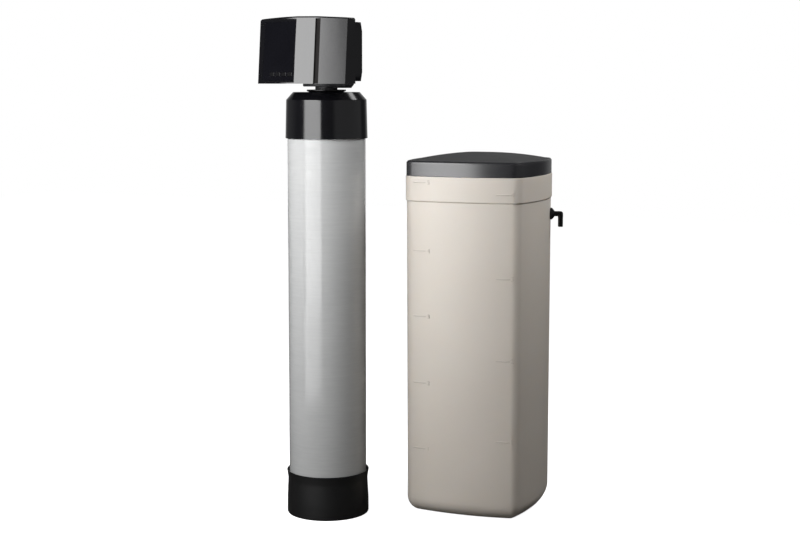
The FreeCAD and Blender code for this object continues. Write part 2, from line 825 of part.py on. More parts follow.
def cover_outline(inset=0.0):
    """Cover in plan at mid height: back left, left corner, prow, groove edges, right corner, back right."""
    side = cover_front_side
    front = [(-cover_half_width, -side), (0, -prow_y), (groove_left_x, -groove_left_y)]
    front += [(groove_right_x, -groove_right_y), (cover_half_width, -side)]
    outline = [(-cover_half_width, -cover_back)] + front + [(cover_half_width, -cover_back)]
    return inset_polygon(outline, inset) if inset else outline


def lean_at(height):
    """How far the cover's front stands back at a height, from its place at mid height."""
    return cover_lean * ((height - cover_bottom) / cover_height - 0.5)


def leaning(points, height):
    """Outline at a height: its front corners lean back, and what lies behind them stays upright."""
    edge = -cover_back - cover_wall - 1
    return [(x, y + lean_at(height) if y < edge else y) for x, y in points]


def leaning_solid(points, low, high):
    return frustum(leaning(points, low), low, leaning(points, high), high)


def crown_solid(top, radius):
    """Long bar along Y whose top stands at a height, to give a form its crown; its seam lies below."""
    reach = prow_y + 2 * cover_lean
    bar_form = Part.makeCylinder(radius, reach, Vector(0, -reach, top - radius), Vector(0, 1, 0))
    bar_form.rotate(Vector(0, 0, top - radius), Vector(0, 1, 0), 180)
    return bar_form


crown_radius = (cover_half_width ** 2 + cover_crown_drop ** 2) / (2 * cover_crown_drop)


def groove_solid(depth, low, high):
    outline = cover_outline()
    left, right = outline[3], outline[4]
    length = math.hypot(right[0] - left[0], right[1] - left[1])
    nx, ny = -(right[1] - left[1]) / length, (right[0] - left[0]) / length
    shape = [(left[0] - nx, left[1] - ny), (right[0] - nx, right[1] - ny)]
    shape += [(right[0] + nx * depth, right[1] + ny * depth), (left[0] + nx * depth, left[1] + ny * depth)]
    low_ring = [(x, y + lean_at(low)) for x, y in shape]
    high_ring = [(x, y + lean_at(high)) for x, y in shape]
    return frustum(low_ring, low, high_ring, high)


def display_frame():
    """Frame on the left front face: X along it to the prow, Y up it, Z out of it."""
    corner, prow = cover_outline()[1:3]
    origin = Vector(corner[0], corner[1] + lean_at(cover_bottom), cover_bottom)
    along = Vector(prow[0] - corner[0], prow[1] - corner[1], 0).normalize()
    rise = Vector(0, cover_lean, cover_height)
    outward = along.cross(rise).normalize()
    return FreeCAD.Placement(origin, FreeCAD.Rotation(along, outward.cross(along), outward, "ZXY"))


def back_profile(inset=0.0):
    """Back part seen from the front, with its long tapers at the top and bottom."""
    half = back_half_width
    flat = half - back_taper
    low_side = back_low + back_taper_height
    high_side = back_high - back_taper_height
    points = [(-flat, back_low), (flat, back_low), (half, low_side), (half, high_side)]
    points += [(flat, back_high), (-flat, back_high), (-half, high_side), (-half, low_side)]
    return inset_polygon(points, inset) if inset else points


def front_prism(points, low, high):
    """Prism over a front view, between two distances forward of the tank axis."""
    corners = [Vector(x, -low, z) for x, z in points]
    return Part.Face(Part.makePolygon(corners + corners[:1])).extrude(forward * (high - low))


def key_places():
    return [key_first + k * key_pitch for k in range(key_count)]


def key_block(x, margin, low, high):
    """Block of a key's outline and a margin round it, between two depths from the display face."""
    half_x = key_width / 2 + margin
    half_y = key_depth / 2 + margin
    return block(x - half_x, x + half_x, key_height - half_y, key_height + half_y, low, high)


def front_cover():
    tall = cover_top + 10
    shell = leaning_solid(cover_outline(), cover_bottom, tall).common(crown_solid(cover_top, crown_radius))
    rim = [edge for edge in shell.Edges if edge.BoundBox.ZMin > cover_top - cover_crown_drop - 2 and
           edge.BoundBox.YMin < -cover_back - 1]
    shell = shell.makeChamfer(cover_rim, rim)
    cavity = leaning_solid(cover_outline(cover_wall), cover_bottom + cover_wall, tall)
    cavity = cavity.common(crown_solid(cover_top - cover_wall - 1.5, crown_radius))
    cavity = cavity.cut(groove_solid(groove_depth + cover_wall, cover_bottom, tall))
    shell = shell.cut(cavity)
    shell = shell.cut(front_prism(back_profile(-clearance), cover_back - 1, cover_back + cover_wall + 1))
    shell = shell.cut(groove_solid(groove_depth, cover_bottom - 1, cover_top - groove_end))
    frame = display_frame()
    recess = block(lens_left, lens_right, lens_low, lens_high, -lens_thickness, 5)
    window = block(window_left, window_right, window_low, window_high, -cover_wall - 2, 0)
    shell = shell.cut(placed(recess, frame)).cut(placed(window, frame))
    for x in key_places():
        shell = shell.cut(placed(key_block(x, clearance, -cover_wall - 2, 0), frame))
    for x in (board_left + 4, board_right - 4):
        for y in (board_low + 4, board_high - 4):
            shell = shell.fuse(placed(post(3.0, -board_depth + seat_gap, -lens_thickness - 0.5, x, y), frame))
    for y in (cover_screw_low, cover_screw_high):
        sink = post(cover_screw_radius + clearance, -1.5, 1, cover_screw_along, y)
        pilot = post(cover_screw_radius / 2 + 0.1, -cover_wall - 3, 1, cover_screw_along, y)
        shell = shell.cut(placed(sink.fuse(pilot), frame))
    export("front_cover", shell.removeSplitter())


def back_cover():
    shell = front_prism(back_profile(), back_end, back_front)
    shell = shell.cut(front_prism(back_profile(back_wall), back_end + back_wall, back_front + 1))
    shell = shell.cut(bar(cap_flange_radius + 2.0, -back_end - back_wall - 1, -back_end + 1))
    export("back_cover", shell)


def display_parts():
    frame = display_frame()
    lens = block(lens_left + 0.2, lens_right - 0.2, lens_low + 0.2, lens_high - 0.2, -lens_thickness + 0.1, 0)
    keys = []
    board = block(board_left, board_right, board_low, board_high, -board_depth - board_thickness, -board_depth)
    under_flange = -cover_wall - seat_gap - key_flange
    switch_top = under_flange - key_travel - seat_gap
    for x in key_places():
        lens = lens.cut(key_block(x, clearance, -lens_thickness - 1, 1))
        key = key_block(x, 0, under_flange, key_proud)
        flange = key_block(x, key_flange_reach, under_flange, under_flange + key_flange)
        keys.append(key.fuse(flange).removeSplitter())
        y0, y1 = key_height - switch_half, key_height + switch_half
        board = board.fuse(block(x - switch_half, x + switch_half, y0, y1, -board_depth, switch_top))
    export("display_lens", placed(lens, frame))
    for k, key in enumerate(keys):
        export("key_%d" % (k + 1), placed(key, frame))
    socket_right = board_right - 12
    socket_low = board_low + 30
    socket = block(socket_right - 18, socket_right, socket_low, socket_low + 8, -board_depth, 7 - board_depth)
    export("circuit_board", placed(board.fuse(socket).removeSplitter(), frame))
    module_left, module_right = window_left - module_margin, window_right + module_margin
    module_low, module_high = window_low - module_margin, window_high + module_margin
    under_wall = -cover_wall - module_margin * math.sin(math.radians(5)) - seat_gap
    module = block(module_left, module_right, module_low, module_high, -board_depth + running_fit, under_wall)
    export("display_module", placed(module, frame))
    screws = []
    for y in (cover_screw_low, cover_screw_high):
        head = post(cover_screw_radius, -1.3, 0.0, cover_screw_along, y)
        shank = post(cover_screw_radius / 2, -cover_wall - 4, -1.0, cover_screw_along, y)
        screws.append(placed(head.fuse(shank), frame))
    export("cover_screws", *screws)


def bowed_corners(width, depth, corner):
    """Radii of the bowed front and side for an outline of a given width, depth and corner."""
    fb, sb = brine_bow_front, brine_bow_side
    right = width / 2 - corner * (math.cos(sb) - math.sin(fb))
    top = depth / 2 - corner * (math.cos(fb) - math.sin(sb))
    det = math.sin(fb) * math.sin(sb) - (1 - math.cos(sb)) * (1 - math.cos(fb))
    front = (right * math.sin(sb) - top * (1 - math.cos(sb))) / det
    side = (top * math.sin(fb) - right * (1 - math.cos(fb))) / det
    return front, side


def bowed_wire(height, grow=0.0, scale=1.0, corner=brine_corner):
    """Closed outline of four bowed sides and four round corners, at a height."""
    width = brine_width * scale + 2 * grow
    depth = brine_depth * scale + 2 * grow
    corner = max(corner + grow, brine_foot_corner)
    front, side = bowed_corners(width, depth, corner)
    corner_turn = math.pi / 2 - brine_bow_front - brine_bow_side
    turns = [(front, brine_bow_front), (corner, corner_turn), (side, brine_bow_side)]
    quarter = turns + turns[::-1]
    pieces = quarter * 2
    start = Vector(0, -depth / 2, height)
    heading = 0.0
    edges = []
    point = start
    merged = []
    for radius, turn in pieces:
        if merged and abs(merged[-1][0] - radius) < 1e-9 and radius != corner:
            merged[-1] = (radius, merged[-1][1] + turn)
        else:
            merged.append((radius, turn))
    for radius, turn in merged:
        centre = point + Vector(-math.sin(heading), math.cos(heading), 0) * radius
        middle_heading = heading + turn / 2
        end_heading = heading + turn
        middle = centre + Vector(math.sin(middle_heading), -math.cos(middle_heading), 0) * radius
        end = centre + Vector(math.sin(end_heading), -math.cos(end_heading), 0) * radius
        edges.append(Part.Arc(point, middle, end).toShape())
        point = end
        heading = end_heading
    return Part.Wire(edges)


def bowed_loft(rings):
    """Ruled solid through outlines, each given as height, growth and scale."""
    return Part.makeLoft([bowed_wire(*ring) for ring in rings], True, True)


def foot_rings(base, radius, grow, scale):
    """Rings of a rounded bottom edge."""
    rings = []
    for degrees in (0, 30, 60, 90):
        angle = math.radians(degrees)
        rings.append((base + radius * (1 - math.cos(angle)), grow - radius * (1 - math.sin(angle)), scale))
    return rings


brine_frame = FreeCAD.Placement(Vector(brine_x, brine_y, 0), FreeCAD.Rotation(up, brine_turn))


def brine_part(name, *shapes):
    export(name, *[placed(shape, brine_frame) for shape in shapes])


def overflow_frame():
    """Frame on the bowed side wall: Z points out of the wall."""
    side = bowed_corners(brine_width, brine_depth, brine_corner)[1]
    angle = math.radians(overflow_angle)
    share = (overflow_height - brine_foot) / (band_low - brine_foot)
    scale = brine_taper + (1 - brine_taper) * share
    centre = brine_width / 2 * scale - side * scale
    point = Vector(centre + side * scale * math.cos(angle), side * scale * math.sin(angle), overflow_height)
    outward = Vector(math.cos(angle), math.sin(angle), 0)
    return FreeCAD.Placement(point, FreeCAD.Rotation(up.cross(outward), up, outward, "ZYX"))


def brine_tank():
    body = bowed_loft(foot_rings(0, brine_foot, 0, brine_taper) + [(band_low, 0, 1.0)])
    band_foot = (band_low - band_proud, 0.0, 1.0)
    band = bowed_loft([band_foot, (band_low, band_proud, 1.0), (band_high, band_proud, 1.0)])
    rim = bowed_loft([(band_high - 1, -rim_inset, 1.0), (rim_top, -rim_inset, 1.0)])
    tank = body.fuse(band).fuse(rim)
    inner_foot = foot_rings(brine_floor, brine_foot - brine_wall, -brine_wall, brine_taper)
    cavity = bowed_loft(inner_foot + [(band_low, -brine_wall, 1.0), (rim_top + 2, -brine_wall, 1.0)])
    tank = tank.cut(cavity)
    hole = placed(post(overflow_radius + clearance, -brine_wall * 3, brine_wall * 3), overflow_frame())
    brine_part("brine_tank", tank.cut(hole).removeSplitter())


def brine_tank_lid():
    low = band_high + lid_lift_gap
    high = low + lid_height
    edge_top = high + 0.4 * lid_edge

    def crown(base, shares):
        return [(base + lid_crown * (1 - share ** 2), 0.0, share) for share in shares]

    inner_grow = -rim_inset + lid_clearance
    outer = [(low, lid_proud, 1.0), (high - lid_edge, lid_proud, 1.0)]
    outer += [(high, lid_proud - 0.35 * lid_edge, 1.0), (edge_top, lid_proud - lid_edge, 1.0)]
    outer += crown(edge_top, (0.8, 0.55, 0.25))
    inner = [(low - 1, inner_grow, 1.0), (high - lid_wall, inner_grow, 1.0)]
    inner += crown(high - lid_wall, (0.7, 0.3))
    lid = bowed_loft(outer).cut(bowed_loft(inner))
    brine_part("brine_tank_lid", lid)


def salt_grid():
    top = grid_height + grid_thickness
    plate = bowed_loft([(grid_height, -grid_inset, 1.0), (top, -grid_inset, 1.0)])
    plate = plate.cut(post(well_radius + clearance * 3, grid_height - 1, top + 1, well_x, well_y))
    rows = int((brine_depth / 2 - grid_rim) / grid_slot_pitch)
    for k in range(-rows, rows + 1):
        y = k * grid_slot_pitch
        for side in (-1, 1):
            near_well = side > 0 and abs(y - well_y) < well_radius + grid_slot * 2
            near_leg = abs(abs(y) - grid_leg_y) < grid_leg_radius + grid_slot
            if near_well or near_leg:
                continue
            x0, x1 = sorted((side * grid_spine, side * (brine_width / 2 - grid_rim)))
            plate = plate.cut(block(x0, x1, y - grid_slot / 2, y + grid_slot / 2, grid_height - 1, top + 1))
    for x, y in ((-grid_leg_x, -grid_leg_y), (grid_leg_x, -grid_leg_y), (-grid_leg_x, grid_leg_y)):
        leg = post(grid_leg_radius, brine_floor + seat_gap, grid_height, x, y)
        plate = plate.fuse(leg.cut(post(grid_leg_radius - grid_leg_wall, 0, grid_height - 3, x, y)))
    brine_part("salt_grid", plate.removeSplitter())


def brine_well():
    low = brine_floor + seat_gap
    well = post(well_radius, low, well_top, well_x, well_y)
    well = well.cut(post(well_radius - well_wall, low - 1, well_top + 1, well_x, well_y))
    arm_start = Vector(well_x + well_radius - 8, well_y, valve_low + valve_height / 2)
    arm_hole = Part.makeCylinder(valve_arm_radius + clearance, well_wall * 4, arm_start, Vector(1, 0, 0))
    slots = [block(well_x - 4, well_x + 4, well_y - well_radius - 1, well_y + well_radius + 1, z, z + 40)
             for z in (30, 90)]
    for slot in slots:
        well = well.cut(slot)
    brine_part("brine_well", well.cut(arm_hole))
    cap_low = well_top - well_cap_skirt
    plate_low = well_top + seat_gap
    cap = post(well_radius + clearance + 2.5, cap_low, plate_low + well_cap_plate, well_x, well_y)
    cap = cap.cut(post(well_radius + clearance, cap_low - 1, plate_low, well_x, well_y))
    brine_part("brine_well_cap", cap)


def safety_valve():
    """Float valve on the well's wall, with a blind bore for the float rod and a socket for the pickup tube."""
    high = valve_low + valve_height
    left = well_x + rod_x - 9
    right = well_x + tube_x + 12
    body = block(left, right, well_y - valve_half_depth, well_y + valve_half_depth, valve_low, high)
    middle = (valve_low + high) / 2
    arm_start = Vector(right - 1, well_y, middle)
    arm_length = well_radius + well_wall + valve_arm_reach - tube_x - 11
    body = body.fuse(Part.makeCylinder(valve_arm_radius, arm_length, arm_start, Vector(1, 0, 0)))
    nut_start = Vector(well_x + well_radius + 1.0, well_y, middle)
    nut = Part.makeCylinder(valve_arm_nut, 5, nut_start, Vector(1, 0, 0))
    body = body.fuse(nut)
    body = body.cut(post(float_rod_radius + running_fit * 2, valve_low - 1, high - 4, well_x + rod_x, well_y))
    body = body.cut(post(tube_radius + running_fit, valve_low - 1, valve_low + 14, well_x + tube_x, well_y))
    brine_part("safety_valve", body.removeSplitter())


def pickup_and_check():
    x = well_x + tube_x
    top = valve_low + 14 - seat_gap
    low = check_low + check_height - 12
    pipe = post(tube_radius, low, top, x, well_y).cut(post(tube_bore, low - 1, top + 1, x, well_y))
    brine_part("pickup_tube", pipe)
    high = check_low + check_height
    cage = prism([(x + px, well_y + py) for px, py in regular(8, check_radius)], check_low, high)
    cage = cage.cut(post(tube_radius + running_fit, low - seat_gap, high + 1, x, well_y))
    for k in range(3):
        z = check_low + 8 + k * 12
        cage = cage.cut(block(x - check_radius - 1, x + check_radius + 1, well_y - 4, well_y + 4, z, z + 6))
    brine_part("air_check", cage)


def float_parts():
    x = well_x + rod_x
    rod_top = valve_low + valve_height - 4 - float_rise - 2.0
    brine_part("float_rod", post(float_rod_radius, float_rod_low, rod_top, x, well_y))
    top = float_low + float_height
    bore = post(float_rod_radius + running_fit, float_low - 1, top + 1, x, well_y)
    ball = post(float_radius, float_low, top, x, well_y).cut(bore)
    brine_part("float", ball)
    rings = []
    for low in (float_low - grommet_height, top):
        high = low + grommet_height
        ring = post(grommet_radius, low, high, x, well_y)
        rings.append(ring.cut(post(float_rod_radius + running_fit / 2, low - 1, high + 1, x, well_y)))
    brine_part("rod_grommets", *rings)


def overflow_parts():
    frame = overflow_frame()
    flange_top = -brine_wall - overflow_washer - seat_gap * 2
    inner_end = flange_top - overflow_flange
    corner = Vector(0, 0, overflow_nut_length + overflow_stub - overflow_radius)
    down = Vector(0, -1, 0)
    neck = corner + down * (overflow_drop - overflow_spout_length)
    spout = elbow(overflow_radius, Vector(0, 0, inner_end), corner, neck)
    spout = spout.fuse(Part.makeCylinder(overflow_spout_radius, overflow_spout_length, neck, down))
    spout = spout.fuse(post(overflow_flange_radius, inner_end, flange_top))
    below = corner + down * (overflow_drop + 1)
    inside = elbow(overflow_bore, Vector(0, 0, inner_end - 1), corner, below)
    brine_part("overflow_elbow", placed(spout.cut(inside).removeSplitter(), frame))
    hole = overflow_radius + running_fit * 2
    rim = seat_gap + overflow_nut_rim
    tip = seat_gap + overflow_nut_length
    nut = solid_of_turn([(hole, seat_gap), (overflow_nut_radius, seat_gap), (overflow_nut_radius, rim),
                         (hole + overflow_nut_tip, tip), (hole, tip)])
    brine_part("overflow_nut", placed(nut, frame))
    washer = post(overflow_flange_radius, -brine_wall - overflow_washer - seat_gap, -brine_wall - seat_gap)
    washer = washer.cut(post(overflow_radius + running_fit * 2, -brine_wall * 3, 0))
    brine_part("overflow_washer", placed(washer, frame))


os.makedirs("parts", exist_ok=True)
mineral_tank()
tank_boot()
tank_collar()
neck_adapter()
vessel_filling()
riser_and_strainers()
valve_body()
stack()
piston_and_rod()
drive_cap()
gear_train()
drive_bracket()
drive_motor()
injector_parts()
drain_elbow()
brine_fitting()
port_fittings()
flow_meter()
front_cover()
back_cover()
display_parts()
brine_tank()
brine_tank_lid()
salt_grid()
brine_well()
safety_valve()
pickup_and_check()
float_parts()
overflow_parts()
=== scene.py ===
import bpy
import bmesh
import json
import math
import numpy as np
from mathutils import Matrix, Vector


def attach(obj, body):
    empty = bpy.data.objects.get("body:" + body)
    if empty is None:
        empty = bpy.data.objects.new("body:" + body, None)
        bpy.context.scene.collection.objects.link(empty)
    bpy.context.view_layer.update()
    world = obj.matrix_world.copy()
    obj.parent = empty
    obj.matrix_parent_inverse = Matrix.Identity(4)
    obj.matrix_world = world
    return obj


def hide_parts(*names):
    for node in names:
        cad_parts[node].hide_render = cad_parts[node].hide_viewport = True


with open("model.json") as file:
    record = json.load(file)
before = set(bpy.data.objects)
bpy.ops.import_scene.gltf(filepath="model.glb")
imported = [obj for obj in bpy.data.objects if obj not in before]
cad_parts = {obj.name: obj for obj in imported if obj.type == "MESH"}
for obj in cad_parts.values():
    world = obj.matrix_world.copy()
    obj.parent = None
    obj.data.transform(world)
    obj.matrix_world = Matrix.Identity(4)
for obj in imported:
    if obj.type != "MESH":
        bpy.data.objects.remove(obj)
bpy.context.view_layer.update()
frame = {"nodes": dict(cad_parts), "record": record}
mm = 0.001


# Meshes from grids of points

# quads between neighbouring rows of a grid; the last column joins the first, and so do the rows of a ring
def gridQuads(rows, columns, closedRows=False):
    row = np.arange(rows if closedRows else rows - 1)[:, None]
    column = np.arange(columns)[None, :]
    nextRow = (row + 1) % rows
    nextColumn = (column + 1) % columns
    corners = [row * columns + column, row * columns + nextColumn, nextRow * columns + nextColumn,
               nextRow * columns + column]
    return np.stack([np.broadcast_to(c, (len(row), columns)) for c in corners], axis=2).reshape(-1, 4)


# points are millimetres, rows by columns by xyz; doubles at poles are merged and the faces turned outwards
def meshFromGrid(name, points, closedRows=False, values=None):
    rows, columns = points.shape[:2]
    mesh = bpy.data.meshes.new(name)
    quads = gridQuads(rows, columns, closedRows)
    mesh.from_pydata((points.reshape(-1, 3) * mm).tolist(), [], quads.tolist())
    if values:
        for label, value in values.items():
            layer = mesh.attributes.new(label, "FLOAT", "POINT")
            whole = np.broadcast_to(value, (rows, columns))
            layer.data.foreach_set("value", whole.astype(np.float32).ravel())
    return tidyMesh(mesh)


# doubles closer than a distance are merged, flat neighbours joined below an angle, and faces turned outwards
def tidyMesh(mesh, apart=0.00002, flat=None):
    form = bmesh.new()
    form.from_mesh(mesh)
    bmesh.ops.remove_doubles(form, verts=form.verts, dist=apart)
    if flat:
        bmesh.ops.dissolve_limit(form, angle_limit=math.radians(flat), verts=form.verts, edges=form.edges)
    else:
        bmesh.ops.dissolve_degenerate(form, edges=form.edges, dist=apart / 2)
    bmesh.ops.recalc_face_normals(form, faces=form.faces)
    form.to_mesh(mesh)
    form.free()
    mesh.update()
    return mesh


# a piece of the dressed part: its finish, the body it rides on and the nodes that it stands in for
def addPiece(name, mesh, material, body, nodes=(), smooth=40):
    piece = bpy.data.objects.new(name, mesh)
    bpy.context.scene.collection.objects.link(piece)
    mesh.materials.clear()
    mesh.materials.append(material)
    mesh.shade_smooth()
    mesh.set_sharp_from_angle(angle=math.radians(smooth))
    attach(piece, body)
    if nodes:
        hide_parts(*nodes)


# a line whose corners are arcs of given radii, with its straight runs cut into steps
def roundedLine(corners, step=4.0, closed=False, arcPoints=7):
    count = len(corners)
    points = []
    for k, (x, y, radius) in enumerate(corners):
        here = np.array([x, y], float)
        ends = closed or 0 < k < count - 1
        if not ends or radius <= 0:
            points.append(here[None, :])
            continue
        before = np.array(corners[k - 1][:2], float) - here
        after = np.array(corners[(k + 1) % count][:2], float) - here
        before /= np.linalg.norm(before)
        after /= np.linalg.norm(after)
        half = math.acos(np.clip(before @ after, -1, 1)) / 2
        start = here + before * radius / math.tan(half)
        centre = here + (before + after) / np.linalg.norm(before + after) * radius / math.sin(half)
        first = start - centre
        second = here + after * radius / math.tan(half) - centre
        turn = np.linspace(0, 1, arcPoints)[:, None]
        sweep = math.pi - 2 * half
        arc = (first * np.sin((1 - turn) * sweep) + second * np.sin(turn * sweep)) / math.sin(sweep)
        points.append(centre + arc)
    line = np.concatenate(points)
    if closed:
        line = np.concatenate([line, line[:1]])
    pieces = []
    for start, end in zip(line[:-1], line[1:]):
        cuts = max(1, int(np.linalg.norm(end - start) / step))
        pieces.append(start + (end - start) * (np.arange(cuts) / cuts)[:, None])
    if not closed:
        pieces.append(line[-1:])
    return np.concatenate(pieces)


# a line of radius and height carried once round Z; a wobble of angle and height is added to the radius
def turned(line, around, wobble=None):
    angle = np.linspace(0, 2 * math.pi, around, endpoint=False)[None, :]
    radius = line[:, 0:1] + (wobble(angle, line[:, 1:2]) * (line[:, 0:1] > 1) if wobble else 0)
    height = np.broadcast_to(line[:, 1:2], (len(line), around))
    return np.stack([radius * np.cos(angle), radius * np.sin(angle), height], axis=2)


# Finishes

def newFinish(name):
    material = bpy.data.materials.new(name)
    material.use_nodes = True
    tree = material.node_tree
    return material, tree.nodes, tree.links, tree.nodes["Principled BSDF"]


# each helper down to attribute adds a node or two and gives back an output
def place(nodes, links, scale=(1, 1, 1), turn=(0, 0, 0)):
    source = nodes.new("ShaderNodeTexCoord")
    mapping = nodes.new("ShaderNodeMapping")
    mapping.inputs["Scale"].default_value = scale
    mapping.inputs["Rotation"].default_value = turn
    links.new(source.outputs["Object"], mapping.inputs["Vector"])
    return mapping.outputs["Vector"]


def noise(nodes, links, where, scale, detail=4.0, rough=0.5):
    node = nodes.new("ShaderNodeTexNoise")
    node.inputs["Scale"].default_value = scale
    node.inputs["Detail"].default_value = detail
    node.inputs["Roughness"].default_value = rough
    links.new(where, node.inputs["Vector"])
    return node.outputs["Fac"]


def cells(nodes, links, where, scale, feature="F1", output="Distance"):
    node = nodes.new("ShaderNodeTexVoronoi")
    node.feature = feature
    node.inputs["Scale"].default_value = scale
    links.new(where, node.inputs["Vector"])
    return node.outputs[output]


def spread(nodes, links, value, low, high, fromLow=0.3, fromHigh=0.7):
    node = nodes.new("ShaderNodeMapRange")
    node.inputs["From Min"].default_value = fromLow
    node.inputs["From Max"].default_value = fromHigh
    node.inputs["To Min"].default_value = low
    node.inputs["To Max"].default_value = high
    links.new(value, node.inputs["Value"])
    return node.outputs["Result"]


def tint(nodes, links, value, dark, light, fromLow=0.3, fromHigh=0.7):
    node = nodes.new("ShaderNodeValToRGB")
    node.color_ramp.elements[0].position = fromLow
    node.color_ramp.elements[0].color = (*dark, 1)
    node.color_ramp.elements[1].position = fromHigh
    node.color_ramp.elements[1].color = (*light, 1)
    links.new(value, node.inputs["Fac"])
    return node.outputs["Color"]


def bump(nodes, links, height, distance, before=None):
    node = nodes.new("ShaderNodeBump")
    node.inputs["Distance"].default_value = distance
    links.new(height, node.inputs["Height"])
    if before is not None:
        links.new(before, node.inputs["Normal"])
    return node.outputs["Normal"]


def times(nodes, links, first, second):
    node = nodes.new("ShaderNodeMath")
    node.operation = "MULTIPLY"
    links.new(first, node.inputs[0])
    if isinstance(second, (int, float)):
        node.inputs[1].default_value = second
    else:
        links.new(second, node.inputs[1])
    return node.outputs["Value"]


# first times its share plus second times its share
def combine(nodes, links, first, firstShare, second, secondShare):
    node = nodes.new("ShaderNodeMath")
    node.operation = "MULTIPLY_ADD"
    links.new(second, node.inputs[0])
    node.inputs[1].default_value = secondShare
    links.new(times(nodes, links, first, firstShare), node.inputs[2])
    return node.outputs["Value"]


def attribute(nodes, name):
    node = nodes.new("ShaderNodeAttribute")
    node.attribute_name = name
    return node.outputs["Fac"]


# moulded plastic: slow drift of shade, fine grain in the gloss and a shallow moulded texture
def mouldedFinish(name, dark, light, rough, grain=900.0, depth=0.00002, drift=9.0, ior=1.5, scatter=0.0):
    material, nodes, links, shader = newFinish(name)
    where = place(nodes, links)
    slow = noise(nodes, links, where, drift, 3.0)
    fine = noise(nodes, links, where, grain, 3.0, 0.6)
    links.new(tint(nodes, links, slow, dark, light), shader.inputs["Base Color"])
    links.new(spread(nodes, links, fine, rough[0], rough[1]), shader.inputs["Roughness"])
    links.new(bump(nodes, links, fine, depth), shader.inputs["Normal"])
    shader.inputs["IOR"].default_value = ior
    if scatter:
        shader.inputs["Subsurface Weight"].default_value = scatter
        shader.inputs["Subsurface Radius"].default_value = (0.004, 0.003, 0.002)
        shader.inputs["Subsurface Scale"].default_value = 1.0
    return material


# polished black: near-mirror gloss with a faint orange peel and the odd dust speck
def glossFinish(name, base, rough, peel=55.0, peelDepth=0.00003, ior=1.8):
    material, nodes, links, shader = newFinish(name)
    where = place(nodes, links)
    wave = noise(nodes, links, where, peel, 2.0)
    haze = noise(nodes, links, where, 14.0, 5.0, 0.6)
    speck = noise(nodes, links, where, 2600.0, 2.0)
    darker = tuple(c * 0.8 for c in base)
    links.new(tint(nodes, links, speck, darker, base, 0.45, 0.7), shader.inputs["Base Color"])
    links.new(spread(nodes, links, haze, rough[0], rough[1]), shader.inputs["Roughness"])
    links.new(bump(nodes, links, wave, peelDepth), shader.inputs["Normal"])
    shader.inputs["IOR"].default_value = ior
    return material


# wound shell: two windings of opposite lean, whose product sets the strength of the gloss and a shallow
# ridge, with hair lines of shade and of gloss round the shell
def woundFinish(name):
    material, nodes, links, shader = newFinish(name)
    lean = math.radians(7.0)
    stretch = (22, 22, 170)
    rising = noise(nodes, links, place(nodes, links, stretch, (lean, -lean, 0)), 1.0, 1.0)
    falling = noise(nodes, links, place(nodes, links, stretch, (-lean, lean, 0)), 1.0, 1.0)
    fibres = noise(nodes, links, place(nodes, links, (5, 5, 1100)), 1.0, 2.0, 0.6)
    cloud = noise(nodes, links, place(nodes, links), 7.0, 2.0)
    shade = combine(nodes, links, cloud, 0.5, fibres, 0.5)
    shade = combine(nodes, links, shade, 0.94, attribute(nodes, "rovingShade"), 0.06)
    colour = tint(nodes, links, shade, (0.495, 0.502, 0.505), (0.553, 0.558, 0.555))
    links.new(colour, shader.inputs["Base Color"])
    links.new(spread(nodes, links, fibres, 0.03, 0.08), shader.inputs["Roughness"])
    winding = times(nodes, links, rising, falling)
    links.new(spread(nodes, links, winding, 0.62, 0.30, 0.16, 0.34), shader.inputs["Specular IOR Level"])
    ridges = bump(nodes, links, winding, 0.0003)
    links.new(bump(nodes, links, fibres, 0.00002, ridges), shader.inputs["Normal"])
    shader.inputs["IOR"].default_value = 1.55
    return material


# lid: polished sides that carry a soft wave, and a pebbled top where the grain attribute rises to one; the
# top's base colour is made lighter than the sides' as painted light on the matte top
def lidFinish(name):
    material, nodes, links, shader = newFinish(name)
    where = place(nodes, links)
    top = attribute(nodes, "grain")
    pebble = cells(nodes, links, where, 700.0, "SMOOTH_F1")
    fine = noise(nodes, links, where, 1500.0, 3.0)
    wave = noise(nodes, links, where, 22.0, 2.0)
    toneWithPaintedTopLight = nodes.new("ShaderNodeMix")
    toneWithPaintedTopLight.data_type = "RGBA"
    links.new(top, toneWithPaintedTopLight.inputs["Factor"])
    # the sides' tone, then the top's tone: the same black moulding made lighter, as painted light on the
    # matte top
    links.new(tint(nodes, links, fine, (0.019, 0.019, 0.022), (0.025, 0.025, 0.028)), toneWithPaintedTopLight.inputs["A"])
    links.new(tint(nodes, links, fine, (0.040, 0.040, 0.042), (0.060, 0.060, 0.062)), toneWithPaintedTopLight.inputs["B"])
    links.new(toneWithPaintedTopLight.outputs["Result"], shader.inputs["Base Color"])
    links.new(spread(nodes, links, top, 0.27, 0.62, 0.0, 1.0), shader.inputs["Roughness"])
    first = bump(nodes, links, times(nodes, links, pebble, top), 0.00012)
    links.new(bump(nodes, links, wave, 0.00004, first), shader.inputs["Normal"])
    shader.inputs["IOR"].default_value = 1.9
    return material


# smoked lens: nearly black plastic that lets a little light through, with a faint wave
def lensFinish(name):
    material, nodes, links, shader = newFinish(name)
    where = place(nodes, links)
    links.new(bump(nodes, links, noise(nodes, links, where, 40.0, 2.0), 0.00002), shader.inputs["Normal"])
    tone = tint(nodes, links, noise(nodes, links, where, 8.0), (0.006, 0.006, 0.009), (0.009, 0.009, 0.013))
    links.new(tone, shader.inputs["Base Color"])
    links.new(spread(nodes, links, noise(nodes, links, where, 20.0), 0.05, 0.1), shader.inputs["Roughness"])
    shader.inputs["IOR"].default_value = 1.49
    shader.inputs["Transmission Weight"].default_value = 0.5
    return material


